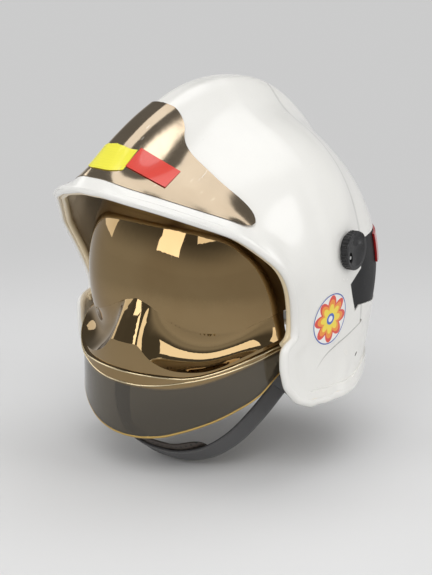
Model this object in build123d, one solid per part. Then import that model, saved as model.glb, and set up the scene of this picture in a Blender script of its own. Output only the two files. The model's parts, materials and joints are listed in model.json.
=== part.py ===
from build123d import *
from math import atan2, cos, degrees, hypot, pi, radians, sin, sqrt
import os

os.makedirs("parts", exist_ok=True)

# Driving sizes: the face looks along -Y, the wearer's left is +X, up is +Z
shell_size = 100.0
shell_wall = 4.5
rest_gap = 0.3
overrun = 1.0

# Dome surface, cut by half planes that fan out from a line across the neck
fan_y_share = -0.05
fan_z_share = -0.95
fan_angles = [-98, -86, -74, -62, -52, -42, -32, -20, -8, 4, 14, 24, 31, 36, 42, 56, 76]
reach_shares = [1.31, 1.24, 1.29, 1.55, 1.78, 2.01, 2.24, 2.44, 2.56, 2.58, 2.54, 2.50, 2.47, 2.42, 2.36,
                2.15, 1.90]
crest_shares = [0, 0, 0, 0, 0, 0.03, 0.10, 0.16, 0.22, 0.26, 0.30, 0.31, 0.24, 0.12, 0.05, 0, 0]
fullness = [2.2, 2.2, 2.3, 2.5, 2.7, 3.0, 3.1, 3.3, 4.2, 4.2, 4.0, 3.4, 3.2, 3.0, 3.0, 2.8, 2.6]
side_height_shares = [-1.00, -0.79, -0.66, -0.45, -0.10, 0.30, 0.90, 1.80]
half_width_shares = [1.16, 1.14, 1.115, 1.11, 1.15, 1.21, 1.24, 1.24]
side_fullness = 1.91
crest_half_share = 0.215
section_angles = [76, 68, 60, 52, 44, 40, 36, 32, 28, 24, 20, 15, 8, 0, -10, -20, -28, -36, -44, -52,
                  -60, -68, -76, -84, -91, -98]
section_points = 31
section_reach_share = 0.97
nudge_share = 0.001

# Edge of the shell seen from the side: y, z and how far the surface flares there
edge_shares = [(-1.62, 1.03, 0.03), (-1.54, 0.97, 0.03), (-1.50, 0.94, 0.05), (-1.31, 0.84, 0.065),
               (-1.12, 0.74, 0.07), (-0.89, 0.62, 0.085), (-0.75, 0.49, 0.105), (-0.63, 0.36, 0.10),
               (-0.52, 0.19, 0.06), (-0.45, 0.03, 0.01), (-0.40, -0.13, -0.02), (-0.38, -0.25, -0.03),
               (-0.53, -0.30, 0), (-0.53, -0.48, 0), (-0.50, -0.63, 0.01), (-0.41, -0.75, 0.02),
               (-0.27, -0.81, 0.02), (-0.05, -0.83, 0.02), (0.32, -0.83, 0.02), (0.60, -0.76, 0.02),
               (1.60, -0.71, 0.02)]
face_edge_count = 12
flare_width = 32.0
rim_width = 10.0
rim_rise = 1.6
rim_depth = 0.6


def smooth(places, values, place):
    """Value at a place on the smooth curve through a table, with no overshoot."""
    last = len(places) - 1
    k = 0
    while k < last - 1 and place > places[k + 1]:
        k += 1

    def slope(n):
        before = (values[n] - values[n - 1]) / (places[n] - places[n - 1]) if n > 0 else None
        after = (values[n + 1] - values[n]) / (places[n + 1] - places[n]) if n < last else None
        if before is None or after is None:
            return after if before is None else before
        return 0 if before * after <= 0 else 2 * before * after / (before + after)

    step = places[k + 1] - places[k]
    t = min(max((place - places[k]) / step, 0), 1)
    rise = values[k + 1] - values[k]
    start, end = slope(k) * step, slope(k + 1) * step
    return values[k] + start * t + (3 * rise - 2 * start - end) * t ** 2 + (start + end - 2 * rise) * t ** 3


def flare_at(y, z):
    """Outward flare of the surface near the shell's edge."""
    nearest, flare = None, 0
    for (y0, z0, f0), (y1, z1, f1) in zip(edge_shares[:-1], edge_shares[1:]):
        dy, dz = y1 - y0, z1 - z0
        along = ((y / shell_size - y0) * dy + (z / shell_size - z0) * dz) / (dy * dy + dz * dz)
        along = min(max(along, 0), 1)
        away = hypot(y / shell_size - y0 - along * dy, z / shell_size - z0 - along * dz) * shell_size
        if nearest is None or away < nearest:
            nearest, flare = away, (f0 + along * (f1 - f0)) * shell_size
    return flare * max(1 - nearest / flare_width, 0) ** 2


def fan_point(angle, across):
    """Place in a fan plane (sideways, outward) of the bare dome, for -1 < across < 1."""
    reach = smooth(fan_angles, reach_shares, angle) * shell_size
    crest = smooth(fan_angles, crest_shares, angle) * shell_size
    power = 2 / smooth(fan_angles, fullness, angle)
    left = 1 - abs(across)
    turn = pi / 2 * (1 - left ** (1 + (1 / power - 1) * abs(across) ** 2))
    out = (reach - crest) * cos(turn) ** power
    height_share = fan_z_share + out * cos(radians(angle)) / shell_size
    half_width = smooth(side_height_shares, half_width_shares, height_share) * shell_size
    side = half_width * sin(turn) ** (2 / side_fullness)
    out += crest / (1 + (side / (crest_half_share * shell_size)) ** 4)
    return (side if across >= 0 else -side), out


def dome_point(angle, across, offset):
    """Point of the dome surface moved outward by offset within its fan plane."""
    side, out = fan_point(angle, across)
    side0, out0 = fan_point(angle, across - nudge_share)
    side1, out1 = fan_point(angle, across + nudge_share)
    run, rise = side1 - side0, out1 - out0
    length = hypot(run, rise)
    y = fan_y_share * shell_size - out * sin(radians(angle))
    z = fan_z_share * shell_size + out * cos(radians(angle))
    move = offset + flare_at(y, z)
    side -= move * rise / length
    out += move * run / length
    return (side, fan_y_share * shell_size - out * sin(radians(angle)),
            fan_z_share * shell_size + out * cos(radians(angle)))


def core(offset):
    """Everything inside an offset of the dome surface, down to the fan line."""
    steps = [2 * n / (section_points - 1) - 1 for n in range(section_points)]
    places = [n / (section_points - 1) for n in range(section_points)]
    sections = []
    for angle in section_angles:
        points = [dome_point(angle, section_reach_share * s, offset) for s in steps]
        sections.append(Wire([Edge.make_spline(points, parameters=places), Line(points[-1], points[0])]))
    return Solid.make_loft(sections)


def skin(region, outer, inner):
    """The part of a region that lies between two offsets of the dome surface."""
    return (core(outer) & region) - core(inner)


def save(name, shape):
    export_step(shape, f"parts/{name}.step")


def side_wire(shares, curved=0):
    """Closed outline in the side view, its first points joined by a curve."""
    points = [(0, y * shell_size, z * shell_size) for y, z in shares]
    edges = [Edge.make_spline(points[:curved])] if curved else []
    corners = points[curved - 1:] if curved else points
    corners.append(points[0])
    edges += [Edge.make_line(a, b) for a, b in zip(corners[:-1], corners[1:])]
    return Wire(edges)


def side_prism(face):
    """A side-view face carried through the whole width of the helmet."""
    return extrude(face, amount=side_reach_share * shell_size, dir=(1, 0, 0), both=True)


def front_prism(shares, back_share):
    """A front-view outline carried from ahead of the brim back to a given place."""
    points = [(x * shell_size, -front_reach_share * shell_size, z * shell_size) for x, z in shares]
    face = Face(Wire.make_polygon(points, close=True))
    return extrude(face, amount=(front_reach_share + back_share) * shell_size, dir=(0, 1, 0))


def mirrored(shape):
    return mirror(shape, about=Plane.YZ)


def side_rod(radius, start, end, y, z):
    """Round bar across the helmet, between two sideways places."""
    return Plane((start, y, z), z_dir=(1, 0, 0)) * extrude(Circle(radius), amount=end - start)


# Shell
side_reach_share = 1.5
front_reach_share = 2.0
beyond_shares = [(1.60, 1.90), (-1.82, 1.90), (-1.82, 1.33)]
ear_round = 9.0
ear_inner_round = 3.0
ear_front_share, ear_back_share, ear_top_share = -0.62, -0.20, -0.28


def edge_outline(inset, corner_round):
    """The shell's side view, its edge moved inward by a length, with rounded ear flaps."""
    places = [(y, z) for y, z, flare in edge_shares]
    sides = []
    for (y0, z0), (y1, z1) in zip(places[:-1], places[1:]):
        length = hypot(y1 - y0, z1 - z0)
        sides.append(((z0 - z1) / length, (y1 - y0) / length))
    moved = []
    for (y, z), before, after in zip(places, sides[:1] + sides, sides + sides[-1:]):
        step = inset / shell_size / (1 + before[0] * after[0] + before[1] * after[1])
        moved.append((y + step * (before[0] + after[0]), z + step * (before[1] + after[1])))
    face = Face(side_wire(moved + beyond_shares, curved=face_edge_count))
    corners = [v for v in face.vertices() if v.Z < ear_top_share * shell_size
               and ear_front_share * shell_size < v.Y < ear_back_share * shell_size]
    return face.fillet_2d(corner_round, corners)


edge_prism = side_prism(edge_outline(0, ear_round))
shell = skin(edge_prism, 0, -shell_wall)
rim_inside = side_prism(edge_outline(rim_width, ear_inner_round))
shell += skin(edge_prism, rim_rise, -shell_wall - rim_depth) - rim_inside

# Rear band: a recess round the back that holds a black band and a red reflector
recess_depth = 2.6
band_sink = 0.8
band_wall = 1.5
band_shares = [(0.44, 0.36), (0.44, 0.14), (0.26, 0.05), (0.37, -0.20), (0.42, -0.16), (0.60, -0.18),
               (0.85, -0.22), (1.60, -0.24), (1.60, 0.36)]
reflector_shares = [(0.80, 0.10), (0.80, 0.33), (1.60, 0.33), (1.60, 0.10)]
reflector_rise = 1.4
band_face = Face(side_wire(band_shares))
recess_face = offset(band_face, amount=rest_gap, kind=Kind.INTERSECTION)
shell -= (core(rim_rise + overrun) & side_prism(recess_face)) - core(-recess_depth)
rear_band = skin(side_prism(band_face), -band_sink, -band_sink - band_wall)
reflector = skin(side_prism(Face(side_wire(reflector_shares))), reflector_rise, -band_sink + rest_gap)

# Screw holes for a neck cape, one low on each side
cape_hole_y_share = 0.48
cape_hole_z_share = -0.31
cape_hole_radius = 1.6

# Side knobs, each turning on a shaft through the shell and leaning back a little
knob_y_share = 0.205
knob_z_share = 0.35
knob_seat_share = 1.148
knob_seat_rise = 1.2
knob_lean = 7.5
knob_radius = 15.6
knob_depth = 6.5
knob_dish_radius = 30.0
knob_dish_depth = 2.6
knob_rib_count = 34
knob_rib_radius = 0.8
knob_edge_round = 1.0
knob_hole_radius = 4.2
knob_hole_depth = 4.5
knob_hole_reach = 9.1
knob_hole_turn = 207
knob_pin_radius = 1.4
knob_pin_height = 3.0
knob_grip_radius = 12.0
knob_grip_reach = 9.0
knob_grip_turn = 75
knob_grip_depth = 2.4
shaft_radius = 4.0
turning_gap = 0.05
shaft_hole_gap = 0.1
nut_radius = 7.0
nut_depth = 4.0
nut_sink = 1.6
boss_radius = 13.0
lean = radians(knob_lean)
knob_seat = knob_seat_share * shell_size + knob_seat_rise
knob_place = Plane((knob_seat, knob_y_share * shell_size, knob_z_share * shell_size),
                   x_dir=(-sin(lean), cos(lean), 0), z_dir=(cos(lean), sin(lean), 0))
shaft_start = -shell_wall - nut_sink - nut_depth
shaft_end = knob_depth / 2
wall_inside = core(-shell_wall - rest_gap)
cape_hole = side_rod(cape_hole_radius, 0, side_reach_share * shell_size, cape_hole_y_share * shell_size,
                     cape_hole_z_share * shell_size)


def standing(radius, low, high):
    """Round bar on a local upright line, from one height to another."""
    return Pos(0, 0, low) * extrude(Circle(radius), amount=high - low)


shaft_hole = knob_place * standing(shaft_radius + shaft_hole_gap, shaft_start - overrun, knob_depth)
shell = shell - shaft_hole - mirrored(shaft_hole) - cape_hole - mirrored(cape_hole)
knob_boss = knob_place * standing(boss_radius, -shell_wall, -rest_gap) - core(rest_gap) - shaft_hole
nut = Pos(0, 0, shaft_start) * extrude(RegularPolygon(nut_radius, 6), amount=2 * nut_depth)
knob_shaft = knob_place * standing(shaft_radius, shaft_start, shaft_end) + (knob_place * nut & wall_inside)


def knob_body():
    """Ribbed hand knob with a dished face, a finger grip and an off-centre hole."""
    body = standing(knob_radius, 0, knob_depth)
    body = fillet(body.edges().group_by(Axis.Z)[-1], knob_edge_round)
    body -= Pos(0, 0, knob_depth - knob_dish_depth + knob_dish_radius) * Sphere(knob_dish_radius)
    for n in range(knob_rib_count):
        body -= Rot(0, 0, 360 * n / knob_rib_count) * Pos(knob_radius, 0, 0) * standing(
            knob_rib_radius, 0, knob_depth - knob_edge_round)
    hole_place = Rot(0, 0, knob_hole_turn) * Pos(knob_hole_reach, 0, 0)
    hole_floor = knob_depth - knob_hole_depth
    body -= hole_place * standing(knob_hole_radius, hole_floor, knob_depth + overrun)
    grip_height = knob_depth - knob_dish_depth / 2 - knob_grip_depth + knob_grip_radius
    body -= Rot(0, 0, knob_grip_turn) * Pos(knob_grip_reach, 0, grip_height) * Sphere(knob_grip_radius)
    body -= standing(shaft_radius + turning_gap, -overrun, shaft_end + rest_gap)
    pin = hole_place * standing(knob_pin_radius, hole_floor, hole_floor + knob_pin_height)
    return knob_place * body, knob_place * pin


knob, knob_pin = knob_body()

# Face plate and its three marking bands, laid on the front of the dome
plate_gap = 0.3
plate_edge_gap = 0.6
plate_wall = 1.7
marking_wall = 0.5
slant_turn, slant_rise = 40, 16
plate_crown_shares = [(-0.90, 1.307), (-0.441, 1.307), (-0.353, 1.268)]
plate_side_shares = [(-0.353, 1.268), (-0.302, 1.205), (-0.272, 1.116), (-0.272, 1.02), (-0.235, 0.925),
                     (-0.113, 0.792), (0.003, 0.679), (0.128, 0.572), (0.226, 0.474), (0.262, 0.41),
                     (0.266, 0.365)]
plate_low_shares = [(0.266, 0.365), (0.24, 0.345), (0.191, 0.345), (0.068, 0.385), (-0.17, 0.42),
                    (-1.20, 0.50), (-1.30, 0.80), (-0.90, 1.307)]
middle_half_shares = [(0, 1.275), (0.08, 1.265), (0.157, 1.235), (0.167, 1.115), (0.08, 1.118), (0, 1.12)]
middle_half_share = 0.16
side_marking_shares = [(-0.689, 0.987), (-0.30, 0.759), (-0.414, 0.632), (-0.792, 0.833), (-0.689, 0.987)]
plate_back_share = -0.45
heading, tilt = radians(slant_turn), radians(slant_rise)
slant = Plane((0, 0, 0), x_dir=(cos(heading), sin(heading), 0),
              z_dir=(sin(heading) * cos(tilt), -cos(heading) * cos(tilt), sin(tilt)))


def whole(half_shares):
    return half_shares + [(-x, z) for x, z in half_shares[::-1] if x > 0]


def slant_prism(tables, side):
    """Outlines seen from ahead and to the left, kept beyond a sideways place."""
    edges = []
    for shares, curved in tables:
        points = [(a * shell_size, b * shell_size, 0) for a, b in shares]
        if curved:
            edges.append(Edge.make_spline(points))
        else:
            edges += [Edge.make_line(a, b) for a, b in zip(points[:-1], points[1:])]
    reach = front_reach_share * shell_size
    prism = extrude(slant * Face(Wire(edges)), amount=reach, dir=slant.z_dir)
    return prism & (Pos(side + reach / 2, 0, 0) * Box(reach, 2 * reach, 2 * reach))


plate_top = plate_gap + plate_wall
marking_top = plate_top + plate_gap + marking_wall
plate_tables = [(plate_crown_shares, False), (plate_side_shares, True), (plate_low_shares, False)]
plate_half = slant_prism(plate_tables, 0)
plate_limit = side_prism(edge_outline(rim_width + plate_edge_gap, ear_inner_round))
plate_region = (plate_half + mirrored(plate_half)) & plate_limit
front_plate = skin(plate_region, plate_top, plate_gap)
middle_marking = skin(front_prism(whole(middle_half_shares), plate_back_share), marking_top,
                      plate_top + plate_gap)
marking_side = middle_half_share * shell_size + plate_edge_gap
left_marking = skin(slant_prism([(side_marking_shares, False)], marking_side), marking_top,
                    plate_top + plate_gap)

# Visor: a turned upper part and a lofted nose, ledge and chin part in one moulding
pivot_y_share = 0.20
pivot_z_share = 0.08
pivot_y, pivot_z = pivot_y_share * shell_size, pivot_z_share * shell_size
visor_reach_share = 1.22
visor_half_share = 1.02
visor_side_power = 3.0
visor_front_power = 2.1
visor_wall = 3.0
visor_top_angle = 38
visor_low_angle = -27
visor_points = 25
visor_end_angle = 86
search_steps = 40
visor_boss_radius = 16.0
visor_boss_start_share = 0.99
visor_reach = visor_reach_share * shell_size
visor_half = visor_half_share * shell_size
chin_y_share = -0.25
chin_half_share = 0.98
chin_reach_share = 0.93
chin_power = 1.95
lip_rise = 1.8
lip_slope = 1.0
cheek_lap = 1.2
cheek_sink = 1.0
chin_turns = [84, 78, 70, 61, 52, 43, 34, 26, 19, 13, 8, 4, 0, -4, -8, -13, -19, -26, -34, -43, -52, -61, -70,
              -78, -84]
chin_side_shares = [0, 0.12, 0.24, 0.34, 0.47, 0.58, 0.70, 0.80, 0.90, 0.98]
cheek_shares = [0.01, -0.02, -0.08, -0.13, -0.18, -0.20, -0.20, -0.17, -0.10, -0.03]
ledge_shares = [-0.31, -0.31, -0.41, -0.46, -0.49, -0.49, -0.46, -0.40, -0.33, -0.26]
lip_top_shares = [-0.53, -0.53, -0.53, -0.53, -0.53, -0.515, -0.475, -0.425, -0.36, -0.30]
lip_low_shares = [-0.64, -0.64, -0.63, -0.615, -0.585, -0.56, -0.52, -0.475, -0.415, -0.34]
hem_shares = [-1.07, -1.065, -1.05, -1.03, -0.985, -0.94, -0.88, -0.81, -0.71, -0.50]
dish_shares = [0, 0, 0.05, 0.08, 0.09, 0.09, 0.08, 0.06, 0.03, 0.01]


def along_chin(shares, side):
    return smooth(chin_side_shares, shares, abs(side) / shell_size) * shell_size


def visor_radius(side, wall=0):
    """Distance of the turned visor's surface from the pivot line."""
    across = min(abs(side) / (visor_half - wall), 1)
    return (visor_reach - wall) * (1 - across ** visor_side_power) ** (1 / visor_front_power)


def turned_curve(half, reach):
    points = []
    for n in range(visor_points):
        turn = radians(visor_end_angle) * (2 * n / (visor_points - 1) - 1)
        side = half * abs(sin(turn)) ** (2 / visor_side_power)
        points.append((side if turn > 0 else -side, reach * cos(turn) ** (2 / visor_front_power)))
    return points


def cheek_place(turn):
    """Where the cheek line crosses an upright plane turned from straight ahead."""
    low, high = 0, visor_half
    for _ in range(search_steps):
        side = (low + high) / 2
        drop = along_chin(cheek_shares, side) + cheek_lap - pivot_z
        ahead = sqrt(max(visor_radius(side, cheek_sink) ** 2 - drop ** 2, 0)) - pivot_y
        if atan2(side, ahead + chin_y_share * shell_size) < abs(turn):
            low = side
        else:
            high = side
    return hypot(side, ahead + chin_y_share * shell_size), pivot_z + drop


def inset_line(points, wall):
    """Points moved sideways by a wall, square to the line at each of them."""
    moved = []
    for n, (a, b) in enumerate(points):
        before = points[max(n - 1, 0)]
        after = points[min(n + 1, len(points) - 1)]
        run, rise = after[0] - before[0], after[1] - before[1]
        length = hypot(run, rise)
        moved.append((a + wall * rise / length, b - wall * run / length))
    return moved


def chin_section(degrees_out):
    turn = radians(degrees_out)
    chin_half, chin_reach = chin_half_share * shell_size, chin_reach_share * shell_size
    plan_sum = (abs(sin(turn)) / chin_half) ** chin_power + (cos(turn) / chin_reach) ** chin_power
    plan = plan_sum ** (-1 / chin_power)
    side = plan * abs(sin(turn))
    cheek = cheek_place(turn)
    ledge = (plan, along_chin(ledge_shares, side))
    dish = along_chin(dish_shares, side)
    run, rise = ledge[0] - cheek[0], ledge[1] - cheek[1]
    length = hypot(run, rise)
    middle = ((cheek[0] + ledge[0]) / 2 + dish * rise / length,
              (cheek[1] + ledge[1]) / 2 - dish * run / length)
    lip_top, lip_low = along_chin(lip_top_shares, side), along_chin(lip_low_shares, side)
    hem = (plan, along_chin(hem_shares, side))
    front = [(plan, lip_top), (plan + lip_rise, lip_top - lip_slope), (plan + lip_rise, lip_low + lip_slope),
             (plan, lip_low)]
    inner = inset_line([cheek, middle, ledge, hem], visor_wall)

    def place(point):
        return (point[0] * sin(turn), chin_y_share * shell_size - point[0] * cos(turn), point[1])

    corners = [ledge] + front + [hem, inner[3], inner[2]]
    edges = [Edge.make_spline([place(cheek), place(middle), place(ledge)])]
    edges += [Edge.make_line(place(a), place(b)) for a, b in zip(corners[:-1], corners[1:])]
    edges.append(Edge.make_spline([place(inner[2]), place(inner[1]), place(inner[0])]))
    edges.append(Edge.make_line(place(inner[0]), place(cheek)))
    return Wire(edges)


visor_start = radians(visor_low_angle)
turn_plane = Plane((0, pivot_y, pivot_z), x_dir=(1, 0, 0), z_dir=(0, -sin(visor_start), -cos(visor_start)))
outer_curve = turned_curve(visor_half, visor_reach)
inner_curve = turned_curve(visor_half - visor_wall, visor_reach - visor_wall)[::-1]
visor_face = Face(Wire([Edge.make_spline(outer_curve), Edge.make_line(outer_curve[-1], inner_curve[0]),
                        Edge.make_spline(inner_curve), Edge.make_line(inner_curve[-1], outer_curve[0])]))
pivot_axis = Axis((0, pivot_y, pivot_z), (-1, 0, 0))
visor = revolve(turn_plane * visor_face, pivot_axis, visor_top_angle - visor_low_angle)
cheek_cut_shares = list(zip(chin_side_shares, cheek_shares))
cheek_cut_shares += [(1.20, -0.04), (1.20, -1.50), (0, -1.50)]
cheek_back_share = 0.05
visor -= front_prism(whole(cheek_cut_shares), cheek_back_share)
chin = Solid.make_loft([chin_section(turn) for turn in chin_turns])
boss_start = visor_boss_start_share * shell_size
visor_boss = side_rod(visor_boss_radius, boss_start, visor_half, pivot_y, pivot_z)
visor = visor + chin + visor_boss + mirrored(visor_boss)
bolt_radius = 5.0
bolt_head_radius = 9.0
bolt_head_depth = 3.6
block_radius = 13.5
block_seat = 2.5
bolt_bore = side_rod(bolt_radius + turning_gap, -visor_half, visor_half, pivot_y, pivot_z)
visor -= bolt_bore
block_start = visor_half + rest_gap
block_end = visor_half + block_radius
pivot_block = side_rod(block_radius, block_start, block_end, pivot_y, pivot_z) & wall_inside
pivot_block -= side_rod(bolt_radius + turning_gap, block_start, block_end, pivot_y, pivot_z)
bolt_shoulder = boss_start - rest_gap
bolt_end = visor_half + block_seat
pivot_bolt = side_rod(bolt_head_radius, bolt_shoulder - bolt_head_depth, bolt_shoulder, pivot_y, pivot_z)
pivot_bolt += side_rod(bolt_radius, bolt_shoulder, bolt_end, pivot_y, pivot_z)

# Impact liner: a cap turned about the visor's line, hollowed for the head
liner_reach_share = 1.155
liner_half_share = 0.93
head_y_share, head_z_share = 0.18, 0.10
cavity_shares = (0.84, 1.04, 1.02)
liner_keep_shares = [(-1.30, 0.36), (-0.45, 0.36), (-0.25, 0.28), (0.45, 0.28), (0.62, 0.05), (0.80, -0.20),
                     (1.50, -0.20), (1.50, 1.70), (-1.30, 1.70)]
liner_curve = turned_curve(liner_half_share * shell_size, liner_reach_share * shell_size)
liner_face = Face(Wire([Edge.make_spline(liner_curve), Edge.make_line(liner_curve[-1], liner_curve[0])]))
liner_start = Plane((0, pivot_y, pivot_z), x_dir=(1, 0, 0), z_dir=(0, 0, -1))
liner = revolve(liner_start * liner_face, pivot_axis, 360)


def head_shape(shares, grow=0):
    """Ellipsoid about the head's middle, given by shares of the shell's size."""
    side, ahead, up = (share * shell_size + grow for share in shares)
    round_shape = scale(Sphere(1), by=(side, ahead, up))
    return Pos(0, head_y_share * shell_size, head_z_share * shell_size) * round_shape


liner = (liner & wall_inside & side_prism(Face(side_wire(liner_keep_shares)))) - head_shape(cavity_shares)

# Headband, brow pad, crown cradle and nape band
band_half_share, band_ahead_share = 0.772, 0.964
band_strip_wall = 1.4
band_low_share, band_high_share = 0.04, 0.30
head_y, head_z = head_y_share * shell_size, head_z_share * shell_size
strip_half, strip_ahead = band_half_share * shell_size, band_ahead_share * shell_size
strip_low, strip_high = band_low_share * shell_size, band_high_share * shell_size


def oval_ring(half, ahead, wall, low, high):
    ring = extrude(Ellipse(half, ahead) - Ellipse(half - wall, ahead - wall), amount=high - low)
    return Pos(0, head_y, low) * ring


headband = oval_ring(strip_half, strip_ahead, band_strip_wall, strip_low, strip_high)
pad_wall = 4.0
pad_inset = 2.0
pad_keep_shares = [(-1.30, -1), (-1.30, 1), (-0.20, 1), (-0.20, -1)]
pad_gap = band_strip_wall + rest_gap
brow_pad = oval_ring(strip_half - pad_gap, strip_ahead - pad_gap, pad_wall, strip_low + pad_inset,
                     strip_high - pad_inset)
brow_pad &= side_prism(Face(side_wire(pad_keep_shares)))
cradle_shares = (0.806, 1.002, 0.97)
cradle_wall = 1.2
cradle_half_width = 11.0
cradle_low_share = 0.22
cradle_skin = head_shape(cradle_shares) - head_shape(cradle_shares, -cradle_wall)
cradle_top = 2 * shell_size
long_strap = Pos(0, head_y, 0) * Box(2 * cradle_half_width, 2 * cradle_top, cradle_top,
                                     align=(Align.CENTER, Align.CENTER, Align.MIN))
cross_strap = Pos(0, head_y, 0) * Box(2 * cradle_top, 2 * cradle_half_width, cradle_top,
                                      align=(Align.CENTER, Align.CENTER, Align.MIN))
cradle_floor = Pos(0, 0, cradle_low_share * shell_size)
cradle = cradle_skin & (cradle_floor * (long_strap + cross_strap))
hanger_half_width = 8.0
hanger_low_share, hanger_high_share = 0.38, 0.48
hanger_skin = head_shape(cavity_shares, -rest_gap) - head_shape(cradle_shares, rest_gap)
hanger_height = (hanger_high_share - hanger_low_share) * shell_size
long_block = Box(2 * hanger_half_width, 2 * cradle_top, hanger_height,
                 align=(Align.CENTER, Align.CENTER, Align.MIN))
cross_block = Box(2 * cradle_top, 2 * hanger_half_width, hanger_height,
                  align=(Align.CENTER, Align.CENTER, Align.MIN))
hangers = hanger_skin & (Pos(0, head_y, hanger_low_share * shell_size) * (long_block + cross_block))

nape_y_share, nape_z_share = 0.40, 0.20
nape_half_share, nape_reach_share = 0.78, 0.84
nape_slope = 47.3
nape_width = 20.0
nape_wall = 1.4
nape_bow = 1.0
nape_rivet_length = 7.0
nape = Plane((0, nape_y_share * shell_size, nape_z_share * shell_size), x_dir=(1, 0, 0),
             z_dir=(0, sin(radians(nape_slope)), cos(radians(nape_slope))))
nape_half, nape_reach = nape_half_share * shell_size, nape_reach_share * shell_size
nape_ring = Ellipse(nape_half, nape_reach) - Ellipse(nape_half - nape_wall, nape_reach - nape_wall)
nape_ring &= Pos(0, nape_reach, 0) * Rectangle(2 * nape_half, 2 * nape_reach)
nape_band = nape * extrude(nape_ring, amount=nape_width / 2, both=True)
nape_rivet_radius = 2.0
nape_rivet_head_radius = 4.0
nape_rivet_head_wall = 1.0
nape_rivet_reach = 5.0
rivet_y = nape_y_share * shell_size + nape_rivet_reach * cos(radians(nape_slope))
rivet_z = nape_z_share * shell_size - nape_rivet_reach * sin(radians(nape_slope))
nape_outside = nape_half + rest_gap
nape_rivet = side_rod(nape_rivet_radius, nape_half - nape_rivet_length, nape_outside, rivet_y, rivet_z)
nape_rivet += side_rod(nape_rivet_head_radius, nape_outside, nape_outside + nape_rivet_head_wall,
                       rivet_y, rivet_z)
rivet_bore = side_rod(nape_rivet_radius + turning_gap, -nape_half - overrun, nape_half + overrun,
                      rivet_y, rivet_z)
nape_band -= rivet_bore
headband -= rivet_bore
housing_width, housing_depth, housing_height = 44.0, 7.0, 18.0
housing_round = 2.0
dial_radius, dial_depth = 10.0, 7.0
dial_round = 1.0
dial_rib_count = 20
dial_rib_radius = 0.8
dial_pin_radius = 3.0
housing_start = nape_reach + nape_bow
housing = Pos(0, housing_start + housing_depth / 2, 0) * Box(housing_width, housing_depth, housing_height)
housing = fillet(housing.edges(), housing_round)
housing -= extrude(Ellipse(nape_half + rest_gap, nape_reach + rest_gap), amount=nape_width, both=True)
dial_start = housing_start + housing_depth + rest_gap
dial_pin = Pos(0, dial_start - rest_gap, 0) * Rot(-90, 0, 0) * Cylinder(dial_pin_radius, dial_depth, align=(
    Align.CENTER, Align.CENTER, Align.MIN))
dial = extrude(Circle(dial_radius), amount=dial_depth)
dial = fillet(dial.edges().group_by(Axis.Z)[-1], dial_round)
for n in range(dial_rib_count):
    dial -= Rot(0, 0, 360 * n / dial_rib_count) * Pos(dial_radius, 0, 0) * Cylinder(
        dial_rib_radius, dial_depth, align=(Align.CENTER, Align.CENTER, Align.MIN))
dial -= Cylinder(dial_pin_radius + turning_gap, 2 * dial_depth + overrun)
dial = Pos(0, dial_start, 0) * Rot(-90, 0, 0) * dial
housing += dial_pin

# Chin strap: a loop of webbing with a chin cup and a push-button buckle on the wearer's left
loop_y_share, loop_z_share = 0, -0.40
loop_slope = 36.4
loop_half_shares = [(0, 1.18), (0.22, 1.16), (0.43, 1.07), (0.60, 0.90), (0.715, 0.68), (0.80, 0.45),
                    (0.86, 0.24), (0.905, 0.08), (0.92, 0), (0.92, -0.08)]
clasp_index = 5
web_wall = 1.8
web_width = 20.0
cup_wall = 5.0
cup_width = 34.0
cup_half_share = 0.45
clasp_width, clasp_wall = 26.0, 11.0
clasp_low, clasp_high = 10.0, 33.0
clasp_round = 1.5
blade_wall, blade_width = 2.4, 14.0
blade_end = 26.0
root_low, root_high = 2.0, 9.7
root_wall = 6.0
web_end_low, web_end_high = 7.0, 29.0
button_low, button_high = 16.0, 25.0
button_width, button_wall = 12.0, 3.0
button_stand = 1.2
button_travel = 1.5
anchor_size = 15.0
anchor_hole_radius = 2.5
rivet_head_radius, rivet_head_wall = 4.5, 1.5
rivet_stand = 0.8
loop_angle = radians(loop_slope)
loop = Plane((0, loop_y_share * shell_size, loop_z_share * shell_size), x_dir=(1, 0, 0),
             z_dir=(0, cos(loop_angle), -sin(loop_angle)))
half_loop = [(x * shell_size, w * shell_size) for x, w in loop_half_shares]
knee, upper = half_loop[clasp_index], half_loop[clasp_index + 2]
clasp_run = hypot(upper[0] - knee[0], upper[1] - knee[1])


def on_clasp(along):
    """Point on the straight side of the loop, measured up from its lower end."""
    share = along / clasp_run
    return (knee[0] + share * (upper[0] - knee[0]), knee[1] + share * (upper[1] - knee[1]))


def web_strip(points, near, far, width):
    """Ribbon between two sideways offsets of a line of points in the loop's plane."""
    inner, outer = inset_line(points, near), inset_line(points, far)[::-1]
    face = Face(Wire([Edge.make_spline(inner), Edge.make_line(inner[-1], outer[0]), Edge.make_spline(outer),
                      Edge.make_line(outer[-1], inner[0])]))
    return extrude(face, amount=width / 2, both=True)


right_points = [(-x, w) for x, w in half_loop[::-1]]
long_points = right_points + half_loop[1:clasp_index] + [on_clasp(0), on_clasp(web_end_low)]
short_points = [on_clasp(web_end_high)] + half_loop[clasp_index + 2:]
cup_points = [point for point in long_points if abs(point[0]) < cup_half_share * shell_size]
long_web = web_strip(long_points, 0, -web_wall, web_width)
short_web = web_strip(short_points, -web_wall, 0, web_width)
chin_cup = web_strip(cup_points, cup_wall, rest_gap, cup_width)
clasp_lean = degrees(atan2(upper[1] - knee[1], upper[0] - knee[0]))
clasp = Pos(knee[0], knee[1], 0) * Rot(0, 0, clasp_lean)
web_middle = web_wall / 2


def clasp_box(low, high, wall, width, middle=0):
    """Block along the straight side: from low to high, about a middle line outside the webbing."""
    return Pos((low + high) / 2, web_middle + middle, 0) * Box(high - low, wall, width)


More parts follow.
